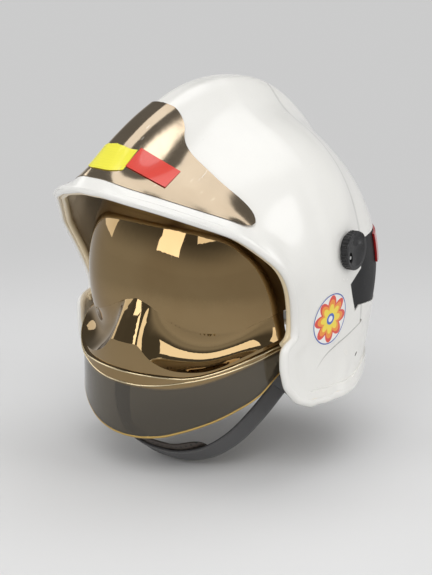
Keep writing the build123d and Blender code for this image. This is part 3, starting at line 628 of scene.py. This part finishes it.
def padMesh(name, frames, across, width, low, high, channels, pinch):
    middle, half = (low + high) / 2, (high - low) / 2
    total = frames[-1][2]
    rings, maps = [], []
    for place, outward, travelled in frames:
        edge = min(travelled, total - travelled) / (width / 2)
        ends = max(math.sqrt(1 - (1 - min(edge, 1.0)) ** 2), padForm["closedEnd"])
        along = abs(math.sin(math.pi * travelled / total * channels))
        puffed = 1 - pinch + pinch * min(along * padForm["puff"], 1.0) ** padForm["puffPower"]
        tall = half * puffed * (padForm["flatEnd"] + (1 - padForm["flatEnd"]) * ends)
        wide = width / 2 * (padForm["narrowEnd"] + (1 - padForm["narrowEnd"]) * ends)
        ring, around = [], []
        for n in range(padForm["around"]):
            turn = 2 * math.pi * n / padForm["around"]
            side = math.copysign(abs(math.cos(turn)) ** padForm["sidePower"], math.cos(turn)) * wide
            height = math.copysign(abs(math.sin(turn)) ** padForm["topPower"], math.sin(turn)) * tall
            ring.append(place + across * side + outward * (middle + height))
            around.append((side, travelled))
        rings.append(ring)
        maps.append(around + around[:1])
    return ringMesh(name, rings, maps)


# Node trees that follow a line: a row of stitches, and a round bead
stitch = {"sizes": {"Spacing": 0.0034, "Length": 0.0024, "Thickness": 0.0004}, "around": 6, "rings": 5}
bead = {"around": 16}


def openLineTree(name, sizes):
    tree = bpy.data.node_groups.new(name, "GeometryNodeTree")
    tree.interface.new_socket("Line", in_out="INPUT", socket_type="NodeSocketGeometry")
    for label in sizes:
        tree.interface.new_socket(label, in_out="INPUT", socket_type="NodeSocketFloat")
    tree.interface.new_socket("Paint", in_out="INPUT", socket_type="NodeSocketMaterial")
    tree.interface.new_socket("Made", in_out="OUTPUT", socket_type="NodeSocketGeometry")
    given = addNode(tree, "NodeGroupInput")
    curve = addNode(tree, "GeometryNodeMeshToCurve", (200, 0))
    even = addNode(tree, "GeometryNodeResampleCurve", (400, 0), mode="LENGTH")
    tree.links.new(given.outputs["Line"], curve.inputs["Mesh"])
    tree.links.new(curve.outputs[0], even.inputs["Curve"])
    tree.links.new(given.outputs["Spacing"], even.inputs["Length"])
    return tree, given, even.outputs[0]


def closeLineTree(tree, given, shape):
    real = addNode(tree, "GeometryNodeRealizeInstances", (1000, 0))
    soft = addNode(tree, "GeometryNodeSetShadeSmooth", (1200, 0))
    painted = addNode(tree, "GeometryNodeSetMaterial", (1400, 0))
    made = addNode(tree, "NodeGroupOutput", (1600, 0))
    tree.links.new(shape, real.inputs[0])
    tree.links.new(real.outputs[0], soft.inputs[0])
    tree.links.new(soft.outputs[0], painted.inputs["Geometry"])
    tree.links.new(given.outputs["Paint"], painted.inputs["Material"])
    tree.links.new(painted.outputs[0], made.inputs["Made"])
    return tree


def buildStitchTree():
    tree, given, path = openLineTree("stitchRow", ("Spacing", "Length", "Thickness"))
    tangent = addNode(tree, "GeometryNodeInputTangent", (400, -300))
    turned = addNode(tree, "FunctionNodeAlignRotationToVector", (600, -300), axis="Z")
    drop = addNode(tree, "GeometryNodeMeshUVSphere", (400, -500))
    size = addNode(tree, "ShaderNodeCombineXYZ", (600, -500))
    placed = addNode(tree, "GeometryNodeInstanceOnPoints", (800, 0))
    drop.inputs["Segments"].default_value = stitch["around"]
    drop.inputs["Rings"].default_value = stitch["rings"]
    drop.inputs["Radius"].default_value = 0.5
    for first, second in (
            (path, placed.inputs["Points"]), (tangent.outputs[0], turned.inputs["Vector"]),
            (turned.outputs[0], placed.inputs["Rotation"]), (drop.outputs["Mesh"], placed.inputs["Instance"]),
            (given.outputs["Thickness"], size.inputs["X"]), (given.outputs["Thickness"], size.inputs["Y"]),
            (given.outputs["Length"], size.inputs["Z"]), (size.outputs[0], placed.inputs["Scale"])):
        tree.links.new(first, second)
    return closeLineTree(tree, given, placed.outputs[0])


def buildBeadTree():
    tree, given, path = openLineTree("roundBead", ("Spacing", "Radius"))
    ring = addNode(tree, "GeometryNodeCurvePrimitiveCircle", (600, -300))
    ring.inputs["Resolution"].default_value = bead["around"]
    tree.links.new(given.outputs["Radius"], ring.inputs["Radius"])
    swept = addNode(tree, "GeometryNodeCurveToMesh", (800, 0))
    swept.inputs["Fill Caps"].default_value = True
    tree.links.new(path, swept.inputs["Curve"])
    tree.links.new(ring.outputs["Curve"], swept.inputs["Profile Curve"])
    return closeLineTree(tree, given, swept.outputs[0])


stitchTree = buildStitchTree()
beadTree = buildBeadTree()


def growOnLines(name, lines, closed, tree, paint, sizes):
    mesh = bpy.data.meshes.new(name + "Lines")
    points, edges = [], []
    for line in lines:
        start = len(points)
        edges += [(start + k, start + k + 1) for k in range(len(line) - 1)]
        if closed:
            edges.append((start + len(line) - 1, start))
        points += line
    mesh.from_pydata(points, edges, [])
    holder = bpy.data.objects.new(name + "Lines", mesh)
    bpy.context.scene.collection.objects.link(holder)
    modifier = holder.modifiers.new("grown", "NODES")
    modifier.node_group = tree
    chosen = {"Paint": paint, **sizes}
    for item in tree.interface.items_tree:
        if item.name in chosen and item.in_out == "INPUT":
            modifier[item.identifier] = chosen[item.name]
    made = bpy.data.meshes.new_from_object(holder.evaluated_get(bpy.context.evaluated_depsgraph_get()))
    bpy.data.objects.remove(holder)
    made.name = name
    return made


def sewLines(name, lines, body):
    mesh = growOnLines(name, lines, False, stitchTree, thread, stitch["sizes"])
    finishPiece(name, mesh, body, thread)


def rollBead(name, lines, closed, spacing, radius, node, paint):
    mesh = growOnLines(name, lines, closed, beadTree, paint, {"Spacing": spacing, "Radius": radius})
    finishPiece(name, mesh, bodyOf[node], paint)


def evened(line, closed, passes):
    # each point drawn to the middle of its neighbours a few times
    for again in range(passes):
        moved = []
        for k, place in enumerate(line):
            if not closed and k in (0, len(line) - 1):
                moved.append(place)
            else:
                moved.append(place * 0.5 + (line[k - 1] + line[(k + 1) % len(line)]) * 0.25)
        line = moved
    return line


# The shell's rolled rim, a bead along the middle of its edge as the CAD piece has it, and the lip inside it
rim = {"radius": 0.0037, "inset": 0.0012, "spacing": 0.0025, "weld": 0.00001, "sharpDegrees": 45,
       "fewestPoints": 150, "between": 4, "flat": 0.03, "passes": 3,
       "lipSink": 0.0048, "lipRadius": 0.0028, "lipBack": -0.015, "lipLow": -0.03, "lipPasses": 6}


def sharpLoops(work, degrees):
    # runs of points joined by sharp edges
    sharp = [edge for edge in work.edges if edge.calc_face_angle(0) > math.radians(degrees)]
    count = {}
    for edge in sharp:
        for vertex in edge.verts:
            count[vertex] = count.get(vertex, 0) + 1
    links = {}
    for edge in sharp:
        first, second = edge.verts
        if count[first] < 3 or count[second] < 3:  # leaves out the short edges across the rim's corners
            links.setdefault(first, []).append(second)
            links.setdefault(second, []).append(first)
    loops, seen = [], set()
    for start in links:
        if start in seen:
            continue
        loop, vertex = [], start
        while vertex is not None:
            seen.add(vertex)
            loop.append(vertex)
            vertex = next((other for other in links[vertex] if other not in seen), None)
        loops.append(loop)
    return loops


def makeRim():
    work = bmesh.new()
    work.from_mesh(frame["nodes"]["outer_shell"].data)
    bmesh.ops.remove_doubles(work, verts=work.verts, dist=rim["weld"])
    loops = [loop for loop in sharpLoops(work, rim["sharpDegrees"]) if len(loop) > rim["fewestPoints"]]
    loops.sort(key=lambda loop: min(vertex.co.z for vertex in loop))
    outer, inner = loops[:2]
    nearest = KDTree(rim["between"] * len(inner))
    for k, vertex in enumerate(inner):
        after = inner[(k + 1) % len(inner)]
        for n in range(rim["between"]):
            nearest.insert(vertex.co.lerp(after.co, n / rim["between"]), rim["between"] * k + n)
    nearest.balance()
    line, lip = [], []
    for vertex in outer:
        place, index, distance = nearest.find(vertex.co)
        normals = [face.normal for face in vertex.link_faces if abs(face.normal.x) < rim["flat"]]
        outward = sum(normals, Vector()).normalized()
        line.append((vertex.co + place) / 2 - outward * rim["inset"])
        lip.append(line[-1] + (place - vertex.co).normalized() * rim["lipSink"])
    work.free()
    # the lip follows the face opening only
    held = [place.y < rim["lipBack"] and place.z > rim["lipLow"] for place in line]
    start = next(k for k in range(len(lip)) if held[k] and not held[k - 1])
    lip = (lip[start:] + lip[:start])[:sum(held)]
    lip, line = evened(lip, False, rim["lipPasses"]), evened(line, True, rim["passes"])
    rollBead("faceOpeningLip", [lip], False, rim["spacing"], rim["lipRadius"], "outer_shell",
             creamEdge)
    rollBead("rolledRim", [line], True, rim["spacing"], rim["radius"], "outer_shell", rimPaint)


# The visor's hem line and its lip's two edges, beads of paler gold that paint highlights, with heights at
# some places from the middle
chin = {"middleY": -0.025, "half": 0.098, "ahead": 0.093, "power": 1.95, "wall": 0.003, "lipRise": 0.0018,
        "lipSlope": 0.001, "turn": 82, "hemRadius": 0.0016, "lipRadius": 0.0006, "spacing": 0.002,
        "sides": [0.0, 0.012, 0.024, 0.034, 0.047, 0.058, 0.07, 0.08, 0.09, 0.098],
        "lipTop": [-0.053, -0.053, -0.053, -0.053, -0.053, -0.0515, -0.0475, -0.0425, -0.036, -0.03],
        "lipLow": [-0.064, -0.064, -0.063, -0.0615, -0.0585, -0.056, -0.052, -0.0475, -0.0415, -0.034],
        "hem": [-0.107, -0.1065, -0.105, -0.103, -0.0985, -0.094, -0.088, -0.081, -0.071, -0.05]}


def chinHeight(name, side):
    # a smooth curve through the table with no overshoot
    sides, heights = chin["sides"], chin[name]
    side, last = min(side, sides[-1]), len(sides) - 1
    n = max(k for k in range(last) if sides[k] <= side)
    steep = [(heights[k + 1] - heights[k]) / (sides[k + 1] - sides[k]) for k in range(last)]
    slopes = []
    for k in (n, n + 1):
        before, after = steep[max(k - 1, 0)], steep[min(k, last - 1)]
        slopes.append(0 if before * after <= 0 else 2 * before * after / (before + after))
    width = sides[n + 1] - sides[n]
    share = (side - sides[n]) / width
    start, end, rise = slopes[0] * width, slopes[1] * width, heights[n + 1] - heights[n]
    return (heights[n] + start * share + (3 * rise - 2 * start - end) * share ** 2
            + (start + end - 2 * rise) * share ** 3)


def makeVisorEdges():
    hem, lipTop, lipLow = [], [], []
    for degrees in range(-chin["turn"], chin["turn"] + 1):
        sine, cosine = math.sin(math.radians(degrees)), math.cos(math.radians(degrees))
        total = (abs(sine) / chin["half"]) ** chin["power"] + (cosine / chin["ahead"]) ** chin["power"]
        plan = total ** (-1 / chin["power"])
        side, lipReach = plan * abs(sine), plan + chin["lipRise"]
        for line, reach, height in ((hem, plan - chin["wall"] / 2, chinHeight("hem", side)),
                                    (lipTop, lipReach, chinHeight("lipTop", side) - chin["lipSlope"]),
                                    (lipLow, lipReach, chinHeight("lipLow", side) + chin["lipSlope"])):
            line.append(Vector((reach * sine, chin["middleY"] - reach * cosine, height)))
    for name, lines, radius, paint in (("visorHem", [hem], chin["hemRadius"], hemGold),
                                       ("visorLipHighlights", [lipTop, lipLow], chin["lipRadius"], lipHighlightGold)):
        rollBead(name, lines, False, chin["spacing"], radius, "face_shield", paint)


makeRim()
makeVisorEdges()
print("rim and visor edges rolled")


# Chin strap: its loop lies in a slanted plane, as its CAD strips do, with each place given across and down it
strap = {"origin": Vector((0, 0, -0.04)), "slope": math.radians(36.4), "wall": 0.0018, "width": 0.02,
         "knee": (0.08, 0.045), "upper": (0.0905, 0.008), "longEnd": 0.007, "shortStart": 0.029,
         "low": [(0, 0.118), (0.022, 0.116), (0.043, 0.107), (0.06, 0.09), (0.0715, 0.068)],
         "high": [(0.0905, 0.008), (0.092, 0), (0.092, -0.008)],
         "mid": [(0.08, 0.045), (0.086, 0.024)], "steps": 10, "seamShare": 0.4,
         "cupHalf": 0.043, "cupWidth": 0.033, "cupWall": 0.0047, "cupGap": 0.0004, "cupSteps": 16,
         "cupChannels": 3, "cupPinch": 0.35, "cupFill": 0.6}


def loopPlace(point):
    down = Vector((0, -math.sin(strap["slope"]), -math.cos(strap["slope"])))
    return strap["origin"] + Vector((point[0], 0, 0)) + down * point[1]


def alongClasp(distance):
    (a, b), (c, d) = strap["knee"], strap["upper"]
    share = distance / math.hypot(c - a, d - b)
    return (a + share * (c - a), b + share * (d - b))


def makeChinStrap():
    across = Vector((0, math.cos(strap["slope"]), -math.sin(strap["slope"])))
    leftSide = strap["low"] + strap["mid"] + strap["high"]
    rightSide = [(-a, b) for a, b in leftSide[:0:-1]]
    longRoute = rightSide + strap["low"] + [alongClasp(0), alongClasp(strap["longEnd"])]
    shortRoute = [alongClasp(strap["shortStart"])] + strap["high"]
    for name, route, node in (("chinStrapLong", longRoute, "chin_web_long"),
                              ("chinStrapShort", shortRoute, "chin_web_short")):
        frames = lineFrames(smoothLine([loopPlace(point) for point in route], strap["steps"]), -across)
        facing = outwardSign(frames[0], strap["origin"])
        low, high = sorted((0.0, facing * strap["wall"]))
        mesh = ribbonMesh(name, frames, across, strap["width"], low, high)
        finishPiece(name, mesh, bodyOf[node], materials["webbing"], [node])
        rows = []
        for side in (-strap["seamShare"], strap["seamShare"]):
            rows.append([place + across * side * strap["width"] + outward * facing * strap["wall"]
                         for place, outward, travelled in frames])
        sewLines(name + "Stitches", rows, bodyOf[node])
    cupRoute = [point for point in longRoute if abs(point[0]) <= strap["cupHalf"]]
    frames = lineFrames(smoothLine([loopPlace(point) for point in cupRoute], strap["cupSteps"]), -across)
    facing = outwardSign(frames[len(frames) // 2], strap["origin"])
    low, high = sorted((-facing * strap["cupGap"], -facing * strap["cupWall"]))
    mesh = padMesh("chinCupPad", frames, across, strap["cupWidth"], low, high, strap["cupChannels"],
                   strap["cupPinch"])
    cup = finishPiece("chinCupPad", mesh, bodyOf["chin_cup"], materials["pad"], ["chin_cup"])


makeChinStrap()
print("chin strap made")


# Brow pad and crown straps, on the ovals of the headband and the head
head = {"middle": Vector((0, 0.018, 0)), "padHalf": 0.0755, "padAhead": 0.0947, "padWall": 0.004,
        "padLow": 0.006, "padHigh": 0.028, "padBack": -0.02, "padSteps": 120, "padChannels": 7,
        "padPinch": 0.4, "padFill": 0.7,
        "level": 0.01, "crown": (0.0806, 0.1002, 0.097), "strapWall": 0.0012, "strapWidth": 0.022,
        "strapLow": 0.022, "strapSteps": 96, "crossSink": 0.0013, "seamShare": 0.38}


def makeBrowPad():
    last = math.acos((head["middle"].y - head["padBack"]) / head["padAhead"])
    height = (head["padLow"] + head["padHigh"]) / 2
    turns = [last * (2 * n / head["padSteps"] - 1) for n in range(head["padSteps"] + 1)]
    half, ahead, middleY = head["padHalf"], head["padAhead"], head["middle"].y
    line = [Vector((half * math.sin(turn), middleY - ahead * math.cos(turn), height)) for turn in turns]
    across = Vector((0, 0, 1))
    frames = lineFrames(line, across)
    facing = outwardSign(frames[len(frames) // 2], head["middle"])
    low, high = sorted((0.0, -facing * head["padWall"]))
    mesh = padMesh("browPadCushion", frames, across, head["padHigh"] - head["padLow"], low, high,
                   head["padChannels"], head["padPinch"])
    pad = finishPiece("browPadCushion", mesh, bodyOf["brow_pad"], materials["pad"], ["brow_pad"])


def makeCradle():
    wide, ahead, tall = head["crown"]
    lowest = math.asin((head["strapLow"] - head["level"]) / tall)
    turns = [lowest + (math.pi - 2 * lowest) * n / head["strapSteps"] for n in range(head["strapSteps"] + 1)]
    back, left = Vector((0, 1, 0)), Vector((1, 0, 0))
    meshes, rows = [], []
    for name, reach, direction, across, sink in (("long", ahead, back, left, 0.0),
                                                 ("cross", wide, left, back, head["crossSink"])):
        line = [head["middle"] + direction * reach * math.cos(turn)
                + Vector((0, 0, head["level"] + tall * math.sin(turn))) for turn in turns]
        frames = lineFrames(line, across)
        facing = outwardSign(frames[len(frames) // 2], head["middle"])
        under = -facing * (sink + head["strapWall"])
        low, high = sorted((-facing * sink, under))
        meshes.append(ribbonMesh(name, frames, across, head["strapWidth"], low, high))
        for side in (-head["seamShare"], head["seamShare"]):
            rows.append([place + across * side * head["strapWidth"] + outward * under
                         for place, outward, travelled in frames])
    work = bmesh.new()
    for mesh in meshes:
        work.from_mesh(mesh)
    joined = bpy.data.meshes.new("crownStraps")
    work.to_mesh(joined)
    work.free()
    joined.shade_smooth()
    body = bodyOf["crown_cradle"]
    finishPiece("crownStraps", joined, body, materials["cradle"], ["crown_cradle"])
    sewLines("crownStitches", rows, body)


makeBrowPad()
makeCradle()
print("head harness made")


# Generic rosette sticker on the ear flap, laid on the shell's own surface
sticker = {"middle": (0.0, -0.0175), "radius": 0.0215, "lift": 0.00015, "rings": 22, "spokes": 72,
           "rayFrom": 0.2, "paper": (0.84, 0.83, 0.8), "petalTurns": 4.0, "blur": 0.008,
           "inks": [{"reach": 0.62, "sway": 0.3, "ink": (0.72, 0.05, 0.03)},
                    {"reach": 0.5, "sway": 0.26, "ink": (0.85, 0.28, 0.02)},
                    {"reach": 0.36, "sway": 0.22, "ink": (0.88, 0.68, 0.05)},
                    {"reach": 0.22, "sway": 0.0, "ink": (0.04, 0.12, 0.5)},
                    {"reach": 0.12, "sway": 0.0, "ink": (0.84, 0.83, 0.8)}],
           "ringMiddle": 0.955, "ringEdge": (0.03, 0.02), "ringInk": (0.05, 0.1, 0.38), "wear": 0.7,
           "scratch": (0.8, 0.78, 0.74), "scratchShare": 0.5, "roughness": 0.3, "coat": 0.4,
           "coatRoughness": 0.08}


def rosetteMaterial():
    material, tree, shader, place, uv = startMaterial("rosetteSticker")
    parts = partsOf(tree, uv)
    squares = [maths(tree, "POWER", parts[n], 2.0) for n in (0, 1)]
    radius = maths(tree, "SQRT", plus(tree, *squares))
    turn = maths(tree, "ARCTAN2", parts[1], parts[0])
    petals = maths(tree, "ABSOLUTE", maths(tree, "COSINE", times(tree, turn, sticker["petalTurns"])))
    painted = sticker["paper"]
    for ring in sticker["inks"]:
        edge = plus(tree, ring["reach"], times(tree, petals, ring["sway"]))
        inked = fade(tree, minus(tree, edge, radius), -sticker["blur"], sticker["blur"])
        painted = mixColours(tree, inked, painted, ring["ink"])
    off = maths(tree, "ABSOLUTE", minus(tree, radius, sticker["ringMiddle"]))
    painted = mixColours(tree, fade(tree, off, *sticker["ringEdge"]), painted, sticker["ringInk"])
    marks = useGroup(tree, wearGroup, Vector=place, Amount=sticker["wear"])
    scratches = times(tree, marks["Mask"], sticker["scratchShare"])
    feed(tree, shader.inputs["Base Color"], mixColours(tree, scratches, painted, sticker["scratch"]))
    shader.inputs["Roughness"].default_value = sticker["roughness"]
    setCoat(shader, sticker["coat"], sticker["coatRoughness"])
    return material


def makeSticker():
    shellMesh = frame["nodes"]["outer_shell"].data
    ground = BVHTree.FromPolygons([vertex.co for vertex in shellMesh.vertices],
                                  [polygon.vertices for polygon in shellMesh.polygons])
    middleY, middleZ = sticker["middle"]
    work = bmesh.new()
    layer = work.loops.layers.uv.new("pieceMap")
    places = {}

    def lay(ring, spoke):
        key = (ring, spoke % sticker["spokes"]) if ring else (0, 0)
        if key not in places:
            turn = 2 * math.pi * key[1] / sticker["spokes"]
            share = ring / sticker["rings"]
            y = middleY + sticker["radius"] * share * math.cos(turn)
            z = middleZ + sticker["radius"] * share * math.sin(turn)
            start = Vector((sticker["rayFrom"], y, z))
            hit, normal, index, distance = ground.ray_cast(start, Vector((-1, 0, 0)))
            places[key] = (work.verts.new(hit + Vector((sticker["lift"], 0, 0))),
                           (share * math.cos(turn), share * math.sin(turn)))
        return places[key]

    for ring in range(sticker["rings"]):
        for spoke in range(sticker["spokes"]):
            corners = [lay(ring, spoke), lay(ring + 1, spoke), lay(ring + 1, spoke + 1)]
            if ring:
                corners.append(lay(ring, spoke + 1))
            face = work.faces.new([vertex for vertex, place in corners])
            for loop, (vertex, place) in zip(face.loops, corners):
                loop[layer].uv = place
    bmesh.ops.recalc_face_normals(work, faces=work.faces)
    if sum(face.normal.x for face in work.faces) < 0:
        bmesh.ops.reverse_faces(work, faces=work.faces)
    mesh = bpy.data.meshes.new("rosetteSticker")
    work.to_mesh(mesh)
    work.free()
    mesh.shade_smooth()
    finishPiece("rosetteSticker", mesh, bodyOf["outer_shell"], rosetteMaterial())


makeSticker()
print("sticker laid on the ear flap")


# Camera at the photograph's angle, with the object a little above the picture's middle
photo = {"longSidePixels": 575, "focalPixels": 2000, "turn": 40, "rise": 16, "distance": 1.63,
         "target": Vector((0, -0.005, 0.01)), "lowerCentre": 0.02078, "sensor": 36}


def placeCamera():
    turn, rise = math.radians(photo["turn"]), math.radians(photo["rise"])
    back = Vector((math.sin(turn) * math.cos(rise), -math.cos(turn) * math.cos(rise), math.sin(rise)))
    right = Vector((math.cos(turn), math.sin(turn), 0))
    camera = bpy.data.objects.new("camera", bpy.data.cameras.new("camera"))
    bpy.context.scene.collection.objects.link(camera)
    camera.data.sensor_width = photo["sensor"]
    camera.data.lens = photo["focalPixels"] / photo["longSidePixels"] * photo["sensor"]
    camera.location = photo["target"] + back * photo["distance"] - back.cross(right) * photo["lowerCentre"]
    camera.rotation_mode = "QUATERNION"
    camera.rotation_quaternion = (-back).to_track_quat("-Z", "Y")
    bpy.context.scene.camera = camera


# Pale floor, soft boxes and a studio that is pale near the horizon and darker overhead
studio = {"floorSize": 30.0, "floorColour": (0.7, 0.7, 0.7), "floorRoughness": 0.9,
          "fill": (0.42, 0.42, 0.42), "pale": (0.62, 0.62, 0.62), "dark": (0.17, 0.17, 0.17),
          "paleHeights": (0.04, 0.42), "paleReach": (0.28, 0.75), "paleFloor": (0.6, 0.6, 0.6)}
softBoxes = {
    "key": {"place": (0.9, -1.5, 1.6), "width": 1.7, "height": 1.5, "power": 22},
    "side": {"place": (2.0, 0.5, 0.9), "width": 1.2, "height": 1.4, "power": 13},
    "window": {"place": (-0.85, -2.1, 0.85), "width": 0.95, "height": 0.75, "power": 9},
    "left": {"place": (-2.2, -0.6, 1.0), "width": 1.4, "height": 1.4, "power": 10},
    "top": {"place": (0.0, 0.6, 2.2), "width": 2.2, "height": 2.0, "power": 17},
}


def seenRays(tree):
    # what the camera sees, by itself, in a mirror or through the clear skirt
    rays = addNode(tree, "ShaderNodeLightPath")
    seen = maths(tree, "MAXIMUM", rays.outputs["Is Camera Ray"], rays.outputs["Is Glossy Ray"])
    return maths(tree, "MAXIMUM", seen, rays.outputs["Is Transmission Ray"])


def placeFloor():
    half = studio["floorSize"] / 2
    level = boxLow.z
    mesh = bpy.data.meshes.new("floor")
    corners = [(-half, -half, level), (half, -half, level), (half, half, level), (-half, half, level)]
    mesh.from_pydata(corners, [], [(0, 1, 2, 3)])
    floor = bpy.data.objects.new("floor", mesh)
    bpy.context.scene.collection.objects.link(floor)
    material, tree, shader, place, uv = startMaterial("paleFloor")
    shader.inputs["Base Color"].default_value = (*studio["floorColour"], 1.0)
    shader.inputs["Roughness"].default_value = studio["floorRoughness"]
    # away from the object the floor shows as the backdrop's plain colour
    far = fade(tree, vectorMaths(tree, "LENGTH", place).outputs["Value"], *studio["paleReach"])
    paper = addNode(tree, "ShaderNodeEmission")
    paper.inputs["Color"].default_value = (*studio["paleFloor"], 1.0)
    blend = addNode(tree, "ShaderNodeMixShader")
    feed(tree, blend.inputs[0], times(tree, seenRays(tree), far))
    tree.links.new(shader.outputs[0], blend.inputs[1])
    tree.links.new(paper.outputs[0], blend.inputs[2])
    tree.links.new(blend.outputs[0], tree.nodes["Material Output"].inputs[0])
    dress(floor, material)


def placeLamps():
    for name, box in softBoxes.items():
        lamp = bpy.data.objects.new(name, bpy.data.lights.new(name, "AREA"))
        bpy.context.scene.collection.objects.link(lamp)
        lamp.data.shape = "RECTANGLE"
        lamp.data.size = box["width"]
        lamp.data.size_y = box["height"]
        lamp.data.energy = box["power"]
        lamp.location = box["place"]
        lamp.rotation_mode = "QUATERNION"
        lamp.rotation_quaternion = (-Vector(box["place"])).to_track_quat("-Z", "Y")
        lamp.visible_camera = False


def placeBackdrop():
    world = bpy.data.worlds.new("studio")
    bpy.context.scene.world = world
    world.use_nodes = True
    tree = world.node_tree
    tree.nodes.clear()
    parts = partsOf(tree, addNode(tree, "ShaderNodeTexCoord").outputs["Generated"])
    wall = mixColours(tree, fade(tree, parts[2], *studio["paleHeights"]), studio["pale"], studio["dark"])
    backdrop = addNode(tree, "ShaderNodeBackground")
    feed(tree, backdrop.inputs["Color"], mixColours(tree, seenRays(tree), studio["fill"], wall))
    out = addNode(tree, "ShaderNodeOutputWorld")
    tree.links.new(backdrop.outputs[0], out.inputs[0])


placeCamera()
placeFloor()
placeLamps()
placeBackdrop()
print("camera, floor and lights placed")

bpy.context.scene.view_settings.view_transform = "Standard"
